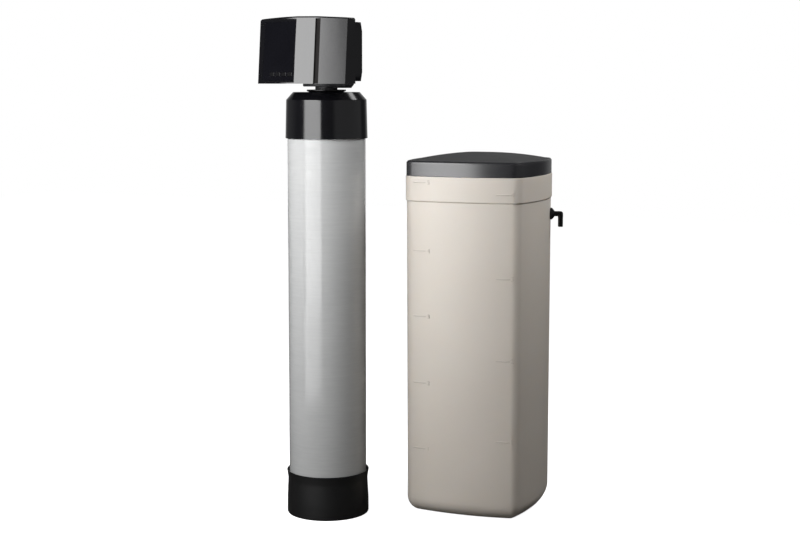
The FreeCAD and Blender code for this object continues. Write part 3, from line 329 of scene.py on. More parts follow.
# metal: fine scratches along one direction
def metalFinish(name, dark, light, rough, along=(30, 30, 900)):
    material, nodes, links, shader = newFinish(name)
    brush = noise(nodes, links, place(nodes, links, along), 1.0, 4.0, 0.6)
    stain = noise(nodes, links, place(nodes, links), 60.0, 4.0)
    links.new(tint(nodes, links, stain, dark, light), shader.inputs["Base Color"])
    links.new(spread(nodes, links, brush, rough[0], rough[1]), shader.inputs["Roughness"])
    links.new(bump(nodes, links, brush, 0.00001), shader.inputs["Normal"])
    shader.inputs["Metallic"].default_value = 1.0
    return material


# beads or stones: each cell a grain with its own shade and a round top
def grainFinish(name, dark, light, size, rough, depth, clear=0.0):
    material, nodes, links, shader = newFinish(name)
    where = place(nodes, links)
    distance = cells(nodes, links, where, 1 / size)
    shade = cells(nodes, links, where, 1 / size, "F1", "Color")
    split = nodes.new("ShaderNodeSeparateColor")
    links.new(shade, split.inputs["Color"])
    links.new(tint(nodes, links, split.outputs["Red"], dark, light, 0.0, 1.0), shader.inputs["Base Color"])
    gloss = spread(nodes, links, split.outputs["Green"], rough[0], rough[1], 0.0, 1.0)
    links.new(gloss, shader.inputs["Roughness"])
    dome = spread(nodes, links, distance, 1.0, 0.0, 0.0, 0.75)
    links.new(bump(nodes, links, dome, depth), shader.inputs["Normal"])
    shader.inputs["Subsurface Weight"].default_value = clear
    shader.inputs["Subsurface Scale"].default_value = size * 2
    return material


# circuit board: green solder mask with a faint pattern of tracks under it
def boardFinish(name):
    material, nodes, links, shader = newFinish(name)
    where = place(nodes, links, (1, 1, 1), (0, 0, math.radians(-13.3)))
    tracks = cells(nodes, links, where, 260.0, "DISTANCE_TO_EDGE")
    line = spread(nodes, links, tracks, 1.0, 0.0, 0.02, 0.06)
    colour = tint(nodes, links, line, (0.02, 0.16, 0.07), (0.05, 0.27, 0.13), 0.2, 0.8)
    links.new(colour, shader.inputs["Base Color"])
    links.new(bump(nodes, links, line, 0.00003), shader.inputs["Normal"])
    links.new(spread(nodes, links, noise(nodes, links, where, 300.0), 0.25, 0.4), shader.inputs["Roughness"])
    return material


finishes = {
    "vessel": woundFinish("woundResin"),
    "boot_rubber": mouldedFinish("bootRubber", (0.0055, 0.0055, 0.006), (0.008, 0.008, 0.0085), (0.40, 0.54),
                                 1400, 0.00003, 9.0, 1.42),
    "black_gloss": glossFinish("polishedBlack", (0.0045, 0.0045, 0.006), (0.10, 0.16)),
    "black_matte": mouldedFinish("blackMoulding", (0.005, 0.005, 0.0055), (0.008, 0.008, 0.0085),
                                 (0.26, 0.40)),
    "beige_plastic": mouldedFinish("beigePolyethylene", (0.71, 0.652, 0.582), (0.735, 0.677, 0.607),
                                   (0.38, 0.52), 700, 0.00005, 5.0, 1.5, 0.12),
    "lid_plastic": lidFinish("lidMoulding"),
    "valve_plastic": mouldedFinish("glassFilled", (0.022, 0.022, 0.024), (0.04, 0.04, 0.043), (0.42, 0.62),
                                   1100, 0.00006, 60),
    "white_plastic": mouldedFinish("whiteMoulding", (0.72, 0.72, 0.70), (0.80, 0.80, 0.78), (0.32, 0.46),
                                   scatter=0.1),
    "pale_pipe": mouldedFinish("palePipe", (0.62, 0.62, 0.60), (0.70, 0.70, 0.68), (0.28, 0.4),
                               500, 0.00002),
    "gear_plastic": mouldedFinish("acetal", (0.70, 0.69, 0.63), (0.80, 0.79, 0.73), (0.25, 0.36),
                                  scatter=0.15),
    "seal_rubber": mouldedFinish("sealRubber", (0.012, 0.012, 0.012), (0.02, 0.02, 0.02), (0.5, 0.7),
                                 1800, 0.00003),
    "motor_metal": metalFinish("platedCan", (0.42, 0.42, 0.41), (0.60, 0.60, 0.60), (0.22, 0.42)),
    "screw_steel": metalFinish("screwSteel", (0.45, 0.45, 0.46), (0.62, 0.62, 0.63), (0.2, 0.36)),
    "black_screw": metalFinish("blackScrew", (0.03, 0.03, 0.032), (0.06, 0.06, 0.062), (0.3, 0.45)),
    "board": boardFinish("solderMask"),
    "smoked_lens": lensFinish("smokedLens"),
    "display": glossFinish("displayGlass", (0.03, 0.036, 0.034), (0.06, 0.12)),
    "key_black": glossFinish("keyBlack", (0.008, 0.008, 0.009), (0.12, 0.2)),
    "resin": grainFinish("amberBeads", (0.42, 0.20, 0.05), (0.75, 0.45, 0.16), 0.0022, (0.15, 0.3),
                         0.0006, 0.3),
    "gravel": grainFinish("washedGravel", (0.30, 0.26, 0.21), (0.66, 0.62, 0.55), 0.006, (0.6, 0.85),
                          0.002),
}
nodeSlot = {part["node"]: part["material_slot"] for part in frame["record"]["subparts"]}
bodyMembers = frame["record"]["behaviour"]["bodies"]
nodeBody = {node: body for body, members in bodyMembers.items() for node in members}
for node, cadObject in frame["nodes"].items():
    cadObject.data.materials.clear()
    cadObject.data.materials.append(finishes[nodeSlot[node]])
print("finishes made:", len(finishes))


# Mineral tank: a wound shell with elliptical ends and a neck
vessel = {"radius": 104.0, "wall": 5.0, "bottom": 12.0, "top": 1134.0, "dome": 58.0, "neckRadius": 44.0,
          "neckBore": 36.6, "neckHeight": 24.0, "pitch": 6.4, "roving": 0.05, "uneven": 0.03, "sway": 0.3,
          "around": 128, "step": 1.62, "plainHeight": 82.0, "shownLow": 92.0, "shownHigh": 1028.0,
          "fadeLow": 96, "fadeHigh": 1036, "fadeReach": 30, "draws": 400, "seed": 7}


# radius falls along a quarter ellipse from the rim to a smaller radius
def domeLine(radius, depth, rim, sign, last, points):
    start = math.acos(last / radius)
    angle = np.linspace(0, start, points)
    return np.stack([radius * np.cos(angle), rim + sign * depth * np.sin(angle)], axis=1)


# hoop rovings: a flat crown between shallow grooves, one pitch per turn, with a slow sway of the wall
def woundWobble(angle, height):
    v = vessel
    draw = np.random.default_rng(v["seed"])
    lift = draw.uniform(-1, 1, v["draws"])
    shade = draw.uniform(0, 1, v["draws"])
    turns = angle / (2 * math.pi)
    stray = 0.22 * np.sin(3 * angle + height / 31) + 0.16 * np.sin(7 * angle - height / 17)
    phase = height / v["pitch"] + turns + stray
    index = np.floor(phase).astype(int) % v["draws"]
    share = phase - np.floor(phase)
    crown = 1 - np.abs(2 * share - 1) ** 3
    blend = share * share * (3 - 2 * share)
    level = lift[index] * (1 - blend) + lift[(index + 1) % v["draws"]] * blend
    sway = 0.5 * np.sin(2 * angle + height / 150) + 0.3 * np.sin(3 * angle - height / 47 + 1)
    sway = sway + 0.25 * np.sin(5 * angle + height / 29) + 0.2 * np.sin(height / 13 + 4 * angle)
    fadeIn = np.clip((height - v["fadeLow"]) / v["fadeReach"], 0, 1)
    fadeOut = np.clip((v["fadeHigh"] - height) / v["fadeReach"], 0, 1)
    swayMost = 1.25  # what the four waves add up to
    radius = v["roving"] * (crown - 1) + v["uneven"] * (level - 1) + v["sway"] * (sway - swayMost) / swayMost
    return radius * (fadeIn * fadeOut), shade[index]


# the profile runs from the bottom's pole up the outside, over the neck and down the inside to its own pole;
# the outer wall's rows are then moved along their radius by the wobble
def makeVessel():
    v = vessel
    inner = v["radius"] - v["wall"]
    depth = v["dome"] - v["wall"]
    lowRim = v["bottom"] + v["dome"]
    shoulder = v["top"] - v["neckHeight"] - v["dome"] * math.sqrt(1 - (v["neckRadius"] / v["radius"]) ** 2)
    low = domeLine(v["radius"], v["dome"], lowRim, -1, 0.0, 22)[::-1]
    plain = np.array([[v["radius"], v["plainHeight"]]])
    shown = np.arange(v["shownLow"], v["shownHigh"], v["step"])
    wall = np.stack([np.full_like(shown, v["radius"]), shown], axis=1)
    high = domeLine(v["radius"], v["dome"], shoulder, 1, v["neckRadius"], 18)
    neck = roundedLine([(v["neckRadius"], high[-1, 1], 0), (v["neckRadius"], v["top"], 1.0),
                        (v["neckBore"], v["top"], 1.0), (v["neckBore"], high[-1, 1] - 4, 0)])
    innerHigh = domeLine(inner, depth, shoulder, 1, v["neckBore"], 14)[::-1]
    innerLow = domeLine(inner, depth, lowRim, -1, 0.0, 16)
    line = np.concatenate([low, plain, wall, high, neck[1:], innerHigh, innerLow])
    points = turned(line, v["around"])
    angle = np.linspace(0, 2 * math.pi, v["around"], endpoint=False)[None, :]
    outer = (np.arange(len(line)) < len(low) + 1 + len(wall))[:, None]
    extra, shade = woundWobble(angle, line[:, 1:2])
    grown = (line[:, 0:1] + extra * outer) / np.maximum(line[:, 0:1], 1)
    points[:, :, :2] *= np.where(line[:, 0:1] > 1, grown, 1)[:, :, None]
    mesh = meshFromGrid("vesselShell", points, False, {"rovingShade": shade})
    addPiece("vesselShell", mesh, finishes["vessel"], "root", ["mineral_tank"], 60)
    return len(mesh.polygons)


print("mineral tank wound:", makeVessel(), "faces")

# Boot: rubber shell with a drawn-in waist and a thin flared lip
boot = {"foot": 110.2, "waist": 107.4, "lip": 111.0, "height": 118.0, "lipRise": 22.0, "edge": 4.5,
        "lipWall": 2.2, "floor": 4.0, "seat": 46.0, "seatTop": 11.7, "seatReach": 52.0, "gap": 0.2,
        "inner": 104.2, "wave": 0.18, "inset": 0.2, "around": 192}


def makeBoot():
    b = boot
    rise = b["height"] - b["lipRise"]
    rim = vessel["bottom"] + vessel["dome"]
    seat = domeLine(vessel["radius"], vessel["dome"], rim, -1, b["seatReach"], 8) + [b["gap"], -b["gap"]]
    corners = [(0, 0, 0), (b["foot"], 0, b["edge"]), (b["foot"] - 0.3, 40, 60), (b["waist"], rise, 60),
               (b["lip"], b["height"], 1.0), (b["lip"] - b["lipWall"], b["height"], 1.0),
               (b["inner"], rise, 14)]
    corners += [(radius, height, 0) for radius, height in seat]
    corners += [(b["seat"], b["seatTop"], 0), (b["seat"], b["floor"], 2), (0, b["floor"], 0)]
    line = roundedLine(corners, 3.0)

    def wobble(angle, height):
        return b["wave"] * np.sin(3 * angle + height / 24) * np.clip(height / 60, 0, 1) - b["inset"]

    mesh = meshFromGrid("bootShell", turned(line, b["around"], wobble))
    addPiece("bootShell", mesh, finishes["boot_rubber"], "root", ["tank_boot"], 50)


makeBoot()

# Shoulder collar: polished skirt, a slope and a flat top with a hole for the neck
collar = {"low": 109.2, "high": 106.8, "top": 88.6, "skirt": 122.0, "slope": 20.5, "level": 1134.5,
          "plate": 3.0, "inner": 104.2, "hole": 46.0, "edge": 1.6, "around": 224}


def makeCollar():
    c = collar
    lip = c["level"] - c["slope"]
    foot = c["level"] - c["skirt"]
    under = c["level"] - c["plate"]
    corners = [(c["low"], foot, 0.8), (c["low"] - 0.25, foot + 8, 30),
               (c["high"], lip, 2.2), (c["top"], c["level"], c["edge"]), (c["hole"], c["level"], 0.8),
               (c["hole"], under, 0.8), (c["top"] - 1.5, under, 1.0), (c["inner"], lip - 1.5, 1.5),
               (c["inner"], foot, 0.8)]
    line = roundedLine(corners, 3.0, True)
    mesh = meshFromGrid("collarShell", turned(line, c["around"]), True)
    addPiece("collarShell", mesh, finishes["black_gloss"], "root", ["tank_collar"], 50)


makeCollar()

# Neck adapter: a brim over a cone, with the spigot that screws into the neck
adapter = {"spigot": 36.3, "end": 1110.0, "low": 1134.2, "cone": 45.0, "brim": 52.0, "brimHeight": 3.5,
           "top": 1141.0, "bore": 20.0, "around": 160}


def makeAdapter():
    a = adapter
    corners = [(a["bore"], a["end"], 0.8), (a["spigot"], a["end"], 1.2), (a["spigot"], a["low"], 0.4),
               (a["cone"], a["low"], 0.5), (a["brim"], a["top"] - a["brimHeight"], 0.8),
               (a["brim"], a["top"], 0.9), (a["bore"], a["top"], 0.4)]
    mesh = meshFromGrid("neckBrim", turned(roundedLine(corners, 3.0, True), a["around"]), True)
    addPiece("neckBrim", mesh, finishes["black_matte"], "root", ["neck_adapter"], 40)


makeAdapter()
print("boot, collar and neck adapter turned")

# Brine tank: four bowed sides and round corners, on a round foot, with a band below its rim
brine = {"x": 322.1, "y": 271.1, "turn": math.radians(7.7), "width": 353.0, "depth": 340.0,
         "bowFront": 0.207, "bowSide": 0.226, "corner": 29.0, "footCorner": 8.0, "taper": 0.988,
         "foot": 40.0, "wall": 4.0, "floor": 4.0, "bandLow": 847.0, "bandHigh": 912.0, "proud": 2.9,
         "rim": 938.0, "rimInset": 1.5, "counts": (22, 14, 24)}


# radii of the front's and the side's arcs: with half width w, half depth d, corner c and the bows f and s,
# right = w - c(cos s - sin f) and back = d - c(cos f - sin s), solved so that the arcs meet in line
def bowedRadii(half, deep, corner):
    front, side = brine["bowFront"], brine["bowSide"]
    right = half - corner * (math.cos(side) - math.sin(front))
    back = deep - corner * (math.cos(front) - math.sin(side))
    whole = math.sin(front) * math.sin(side) - (1 - math.cos(side)) * (1 - math.cos(front))
    return ((right * math.sin(side) - back * (1 - math.cos(side))) / whole,
            (back * math.sin(front) - right * (1 - math.cos(front))) / whole)


# a quarter of the outline runs along the front, round the corner and up the side, and is then mirrored
def bowedOutline(grow, scale):
    b = brine
    grow = np.asarray(grow, float)[:, None]
    scale = np.asarray(scale, float)[:, None]
    front, side = b["bowFront"], b["bowSide"]
    half, deep = b["width"] * scale / 2 + grow, b["depth"] * scale / 2 + grow
    corner = np.maximum(b["corner"] + grow, b["footCorner"])
    frontRadius, sideRadius = bowedRadii(half, deep, corner)
    frontCount, cornerCount, sideCount = b["counts"]
    onFront = np.linspace(0, front, frontCount, endpoint=False)[None, :]
    onCorner = np.linspace(front, math.pi / 2 - side, cornerCount, endpoint=False)[None, :]
    onSide = np.linspace(math.pi / 2 - side, math.pi / 2, sideCount + 1)[None, :]
    cornerX = (frontRadius - corner) * math.sin(front)
    cornerY = frontRadius - deep - (frontRadius - corner) * math.cos(front)
    x = [frontRadius * np.sin(onFront), cornerX + corner * np.sin(onCorner),
         half - sideRadius + sideRadius * np.sin(onSide)]
    y = [frontRadius - deep - frontRadius * np.cos(onFront), cornerY - corner * np.cos(onCorner),
         -sideRadius * np.cos(onSide)]
    quarter = np.stack([np.concatenate(x, 1), np.concatenate(y, 1)], 2)
    rightHalf = np.concatenate([quarter, quarter[:, -2:0:-1] * [1, -1]], 1)
    return np.concatenate([rightHalf, -rightHalf], 1)


# the outline's size at a height: a straight taper from the foot's top up to the band
def brineScale(height):
    b = brine
    share = np.clip((height - b["foot"]) / (b["bandLow"] - b["foot"]), 0, 1)
    return b["taper"] + (1 - b["taper"]) * share


# points about the tank's own axis are turned about Z by its angle and moved to its axis
def intoPlace(points):
    cos, sin = math.cos(brine["turn"]), math.sin(brine["turn"])
    x = brine["x"] + points[..., 0] * cos - points[..., 1] * sin
    y = brine["y"] + points[..., 0] * sin + points[..., 1] * cos
    return np.stack([x, y, points[..., 2]], axis=-1)


# rows of growth, height and squeeze; a squeeze of nought is a pole on the axis
def bowedRows(grow, height, squeeze, scale):
    flat = bowedOutline(grow, scale) * np.asarray(squeeze, float)[:, None, None]
    level = np.broadcast_to(np.asarray(height, float)[:, None, None], flat.shape[:2] + (1,))
    return intoPlace(np.concatenate([flat, level], 2))


# rows are a foot's quarter round, the wall, the filleted band and rim, then the inside down to the floor
def makeBrineTank():
    b = brine
    corners = [(-b["foot"], 0, 0), (0, 0, b["foot"] - 0.5), (0, b["bandLow"] - b["proud"], 1.5),
               (b["proud"], b["bandLow"], 1.6), (b["proud"], b["bandHigh"], 1.4),
               (-b["rimInset"], b["bandHigh"], 1.2), (-b["rimInset"], b["rim"], 1.0),
               (-b["wall"], b["rim"], 1.0), (-b["wall"], b["floor"], b["foot"] - 5),
               (-b["foot"], b["floor"], 0)]
    line = roundedLine(corners, 14.0, arcPoints=9)
    shares = [0, 0.3, 0.6, 0.85]
    count = len(shares)
    grow = np.concatenate([np.full(count, -b["foot"]), line[:, 0], np.full(count, -b["foot"])])
    height = np.concatenate([np.zeros(count), line[:, 1], np.full(count, b["floor"])])
    squeeze = np.concatenate([shares, np.ones(len(line)), shares[::-1]])
    mesh = meshFromGrid("brineShell", bowedRows(grow, height, squeeze, brineScale(height)))
    addPiece("brineShell", mesh, finishes["beige_plastic"], "root", ["brine_tank"], 50)


makeBrineTank()

# Level marks: raised bars and plain numerals on the bowed front, in a beige a little deeper than the tank's,
# which is painted shade for the dark lines of shadow along the raised bars. A side is its bars' place
# across, their length and their heights, its numerals' place across and its highest number
markPaintedShadeFinish = mouldedFinish("beigeMarksPaintedShade", (0.61, 0.557, 0.49), (0.64, 0.585, 0.52), (0.40, 0.55),
                           700, 0.00005, 5.0)
marks = {"left": (-116.0, 39.0, (896, 714, 538, 358, 179), -88.0, 5),
         "right": (118.0, 37.0, (868, 647, 430, 214), 142.0, 4), "thick": 3.2, "proud": 1.5, "tall": 11.5}


# a point on the front: round the front's own arc at that height, moved out along the arc's radius
def onFrontWall(x, z, out):
    b = brine
    scale = brineScale(z)
    proud = np.where(z > b["bandLow"], b["proud"], 0.0)
    half, deep = b["width"] * scale / 2 + proud, b["depth"] * scale / 2 + proud
    radius = bowedRadii(half, deep, b["corner"] + proud)[0]
    angle = np.arcsin(np.clip(x / radius, -1, 1))
    across = (radius + out) * np.sin(angle)
    depth = radius - deep - (radius + out) * np.cos(angle)
    return intoPlace(np.stack([across, depth, z], axis=-1))


# superellipsoid: cosines and sines raised to a small power give a bar with round edges
def barPoints(x, z, length):
    m = marks
    tilt = np.linspace(-math.pi / 2, math.pi / 2, 9)[:, None]
    turn = np.linspace(0, 2 * math.pi, 24, endpoint=False)[None, :]
    reach = np.cos(tilt) ** 0.4
    across = np.sign(np.cos(turn)) * np.abs(np.cos(turn)) ** 0.25 * reach * length / 2
    rise = np.sign(np.sin(turn)) * np.abs(np.sin(turn)) ** 0.5 * reach * m["thick"] / 2
    out = np.sin(tilt) * m["proud"] + 0 * turn
    return onFrontWall(x + across, z + rise, out)


# several meshes made one
def joined(name, meshes):
    form = bmesh.new()
    for mesh in meshes:
        form.from_mesh(mesh)
        bpy.data.meshes.remove(mesh)
    whole = bpy.data.meshes.new(name)
    form.to_mesh(whole)
    form.free()
    return whole


# flat text made a mesh: its x runs along the wall, its y up the wall and its thickness out of it
def numeralMesh(text, x, z, tall):
    words = bpy.data.curves.new("numeral", "FONT")
    words.body = text
    words.align_x = "CENTER"
    words.align_y = "CENTER"
    words.size = tall * 1.4
    words.extrude = 1.1
    words.bevel_depth = 0.35
    words.bevel_resolution = 1
    words.resolution_u = 6
    carrier = bpy.data.objects.new("numeralCarrier", words)
    mesh = bpy.data.meshes.new_from_object(carrier)
    bpy.data.objects.remove(carrier)
    bpy.data.curves.remove(words)
    flat = np.zeros(len(mesh.vertices) * 3)
    mesh.vertices.foreach_get("co", flat)
    flat = flat.reshape(-1, 3)
    wall = onFrontWall(x + flat[:, 0], z + flat[:, 1], flat[:, 2])
    mesh.vertices.foreach_set("co", (wall * mm).ravel())
    mesh.update()
    return tidyMesh(mesh, 0.00001)


def makeMarks():
    m = marks
    raised = []
    for x, length, heights, _, _ in (m["left"], m["right"]):
        raised += [meshFromGrid("bar", barPoints(x, float(z), length)) for z in heights]
    for _, _, heights, x, highest in (m["left"], m["right"]):
        raised += [numeralMesh(str(highest - k), x, z, m["tall"]) for k, z in enumerate(heights)]
    addPiece("levelMarks", joined("levelMarks", raised), markPaintedShadeFinish, "root", (), 40)


makeMarks()
print("brine tank and its level marks made")

# Lid: a plain side, a rounded edge and a crowned top, which falls as the square of the outline's share
lid = {"low": 912.3, "high": 948.3, "edgeTop": 953.0, "proud": 1.4, "edge": 7.5, "edgeRun": 4, "crown": 19.0,
       "wall": 3.0, "inner": -0.7, "shares": (0.96, 0.9, 0.82, 0.72, 0.6, 0.47, 0.34, 0.22, 0.11, 0.0)}


def makeLid():
    inner, low, proud, edgeTop = lid["inner"], lid["low"], lid["proud"], lid["edgeTop"]
    inset = proud - lid["edge"] - lid["edgeRun"]
    underTop = lid["high"] - lid["wall"]
    outer = roundedLine([(inner, low, 0.6), (proud, low, 0.8), (proud, edgeTop - 0.4, lid["edge"] - 0.2),
                         (inset, edgeTop + 0.6, 0)], 4.0)
    shares = np.array(lid["shares"])
    count = len(shares)
    top = np.stack([np.full(count, inset), edgeTop + lid["crown"] * (1 - shares ** 2)], 1)
    innerShares = shares[::-1]
    innerTop = np.stack([np.full(count, inner), underTop + (lid["crown"] - 1) * (1 - innerShares ** 2)], 1)
    line = np.concatenate([outer, top, innerTop, [(inner, underTop), (inner, low)]])
    squeeze = np.concatenate([np.ones(len(outer)), shares, innerShares, [1.0, 1.0]])
    # grain is one on the pebbled top, where the lid's finish also paints a lighter tone as painted light
    grain = np.zeros(len(line))
    grain[len(outer) - 3:len(outer) + count] = 1  # the end of the round edge, and the crown
    points = bowedRows(line[:, 0], line[:, 1], squeeze, np.ones(len(line)))
    mesh = meshFromGrid("lidShell", points, True, {"grain": grain[:, None]})
    addPiece("lidShell", mesh, finishes["lid_plastic"], "lid", ["brine_tank_lid"], 50)


makeLid()

# Overflow: a bent spout through the side wall, held by a conical nut
overflow = {"height": 800.0, "angle": math.radians(11.0), "radius": 7.2, "bore": 4.6, "spout": 6.9,
            "spoutLength": 26.0, "drop": 36.0, "corner": 28.6, "bend": 7.7, "flange": 13.0,
            "flangeThick": 3.0, "innerEnd": -9.4, "nutRadius": 16.2, "nutRim": 4.7, "nutLength": 11.5,
            "nutTip": 1.2, "nutAround": 72, "seat": 0.2, "around": 40}


# local places to the tank's side: x along the wall, y up, z out of it
def onSideWall(points):
    b, o = brine, overflow
    scale = float(brineScale(np.array(o["height"])))
    side = bowedRadii(b["width"] / 2, b["depth"] / 2, b["corner"])[1]
    cos, sin = math.cos(o["angle"]), math.sin(o["angle"])
    centre = (b["width"] / 2 - side) * scale
    x = centre + side * scale * cos - points[..., 0] * sin + points[..., 2] * cos
    y = side * scale * sin + points[..., 0] * cos + points[..., 2] * sin
    return intoPlace(np.stack([x, y, o["height"] + points[..., 1]], axis=-1))


# how far the spout runs before its bend, and round the bend's inner side
def bendRuns():
    o = overflow
    return o["corner"] - o["bend"] - o["innerEnd"], o["bend"] * math.pi / 2


# rings run out, turn about the bend's inner side and run down; in the turn the reach from that side is
# stretched by (cos^5 + sin^5)^-0.2, which makes the outer corner nearly square
def bentTube(run, radius):
    o = overflow
    straight, arc = bendRuns()
    run = np.asarray(run, float)[:, None]
    radius = np.asarray(radius, float)[:, None]
    turn = np.clip((run - straight) / arc, 0, 1) * math.pi / 2
    angle = np.linspace(0, 2 * math.pi, o["around"], endpoint=False)[None, :]
    reach = (o["bend"] + radius * np.sin(angle)) * (np.cos(turn) ** 5 + np.sin(turn) ** 5) ** -0.2
    out = np.minimum(run, straight) + o["innerEnd"] + reach * np.sin(turn)
    rise = reach * np.cos(turn) - o["bend"] - np.maximum(run - straight - arc, 0)
    return np.stack([radius * np.cos(angle) + 0 * turn, rise, out], axis=2)


def makeOverflow():
    o = overflow
    straight, arc = bendRuns()
    whole = straight + arc + o["drop"] - o["bend"]
    neck = whole - o["spoutLength"]
    line = roundedLine([(0, o["bore"], 0.3), (0, o["flange"], 0.6), (o["flangeThick"], o["flange"], 0.6),
                        (o["flangeThick"], o["radius"], 0.4), (neck, o["radius"], 0.2),
                        (neck + 0.4, o["spout"], 0.2), (whole, o["spout"], 1.8), (whole, o["bore"], 0.3)],
                       1.2, True, 5)
    mesh = meshFromGrid("overflowBend", onSideWall(bentTube(line[:, 0], line[:, 1])), True)
    addPiece("overflowBend", mesh, finishes["black_matte"], "root", ["overflow_elbow"], 40)
    hole = o["radius"] + 0.1
    seat = o["seat"]
    tip = seat + o["nutLength"]
    profile = roundedLine([(hole, seat, 0.2), (o["nutRadius"], seat, 0.5),
                           (o["nutRadius"], seat + o["nutRim"], 0.9), (hole + o["nutTip"], tip, 0.5),
                           (hole, tip, 0.3)], 2.0, True, 5)
    nut = meshFromGrid("overflowCone", onSideWall(turned(profile, o["nutAround"])), True)
    addPiece("overflowCone", nut, finishes["black_matte"], "root", ["overflow_nut"], 40)


makeOverflow()
print("lid and overflow made")


# Head, fittings and well cap: copies of the moulded parts with broken edges, of a width and segments each
softened = {"front_cover": (0.9, 3), "back_cover": (1.2, 3), "display_lens": (0.35, 2), "key_1": (0.5, 2),
            "key_2": (0.5, 2), "key_3": (0.5, 2), "key_4": (0.5, 2), "valve_body": (0.9, 2),
            "port_nuts": (0.7, 2), "inlet_fitting": (0.5, 2), "outlet_fitting": (0.5, 2),
            "drain_elbow": (0.5, 2), "brine_fitting": (0.5, 2), "injector_cap": (0.7, 2),
            "drive_cap": (0.6, 2), "brine_well_cap": (0.6, 2)}
sharpFrom = math.radians(28)


# long sharp edges get a round of a given width; short ones stay sharp, so that nothing crosses
def softCopy(node, width, segments):
    mesh = frame["nodes"][node].data.copy()
    mesh.name = node + "Soft"
    tidyMesh(mesh, 0.000002, 1.0)
    form = bmesh.new()
    form.from_mesh(mesh)
    layer = form.edges.layers.float.new("bevel_weight_edge")
    shortest = width * mm * 3
    for face in form.faces:
        face.smooth = True
    for edge in form.edges:
        if edge.calc_face_angle(0) > sharpFrom:
            broken = edge.is_manifold and edge.calc_length() > shortest
            edge[layer] = 1.0 if broken else 0.0
            edge.smooth = broken
    form.to_mesh(mesh)
    form.free()
    piece = bpy.data.objects.new(node + "Soft", mesh)
    bpy.context.scene.collection.objects.link(piece)
    mesh.materials.clear()
    mesh.materials.append(finishes[nodeSlot[node]])
    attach(piece, nodeBody[node])
    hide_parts(node)
    rounding = piece.modifiers.new("brokenEdges", "BEVEL")
    rounding.limit_method = "WEIGHT"
    rounding.width = width * mm
    rounding.segments = segments
    rounding.use_clamp_overlap = True
    weighting = piece.modifiers.new("flatFaces", "WEIGHTED_NORMAL")
    weighting.keep_sharp = True


for node, (width, segments) in softened.items():
    softCopy(node, width, segments)
print("edges broken on", len(softened), "parts")

# Groove lining: a thin dark, dull channel laid in the cover's groove as painted shade, leaning back with the
# front
grooveShadeFinish = mouldedFinish("grooveShadeLining", (0.006, 0.005, 0.005), (0.010, 0.0085, 0.008), (0.5, 0.66),
                             800, 0.00002, 30.0, 1.22)
lining = {"left": (53.4, -143.2), "right": (66.9, -140.1), "depth": 4.95, "thick": 0.4, "set": 0.5,
          "gap": 0.06, "low": 1157.0, "high": 1322.6, "lean": 15.0, "foot": 1156.5, "tall": 172.5}


# two outlines of the same count joined by quads, with a face over each end
def prismMesh(name, low, high):
    count = len(low)
    points = [tuple(c * mm for c in point) for point in list(low) + list(high)]
    sides = [(k, (k + 1) % count, count + (k + 1) % count, count + k) for k in range(count)]
    mesh = bpy.data.meshes.new(name)
    mesh.from_pydata(points, [], sides + [tuple(range(count))[::-1], tuple(range(count, 2 * count))])
    return tidyMesh(mesh, 0.000002)


# a channel in plan, open to the front, at two heights, each shifted back by its share of the cover's lean
def makeGrooveShadeLining():
    g = lining
    left, right = np.array(g["left"]), np.array(g["right"])
    wide = np.linalg.norm(right - left)
    along = (right - left) / wide
    inward = np.array([-along[1], along[0]])
    near, thick, deep = g["gap"], g["thick"], g["depth"]
    channel = [(near, g["set"]), (near + thick, g["set"]), (near + thick, deep - thick),
               (wide - near - thick, deep - thick), (wide - near - thick, g["set"]), (wide - near, g["set"]),
               (wide - near, deep), (near, deep)]
    rings = []
    for height in (g["low"], g["high"]):
        back = g["lean"] * ((height - g["foot"]) / g["tall"] - 0.5)
        rings.append([(*(left + along * a + inward * d + [0, back]), height) for a, d in channel])
    addPiece("grooveShadeLining", prismMesh("grooveShadeLining", *rings), grooveShadeFinish, "root", (), 30)


makeGrooveShadeLining()

# Port shoulder: the low rounded boss under the valve on its outlet side
shoulder = {"x": 38.0, "y": 15.0, "radius": 33.0, "low": 1145.2, "high": 1158.0, "foot": 26.0,
            "slant": 1154.5, "around": 96}


def makeShoulder():
    s = shoulder
    line = roundedLine([(0, s["low"], 0), (s["foot"], s["low"], 1.5), (s["radius"], s["slant"], 2.0),
                        (s["radius"], s["high"], 0.8), (0, s["high"], 0)], 3.0)
    points = turned(line, s["around"]) + [s["x"], s["y"], 0]
    mesh = meshFromGrid("portShoulder", points)
    addPiece("portShoulder", mesh, finishes["valve_plastic"], "root", (), 40)


makeShoulder()
print("groove lining and port shoulder made")


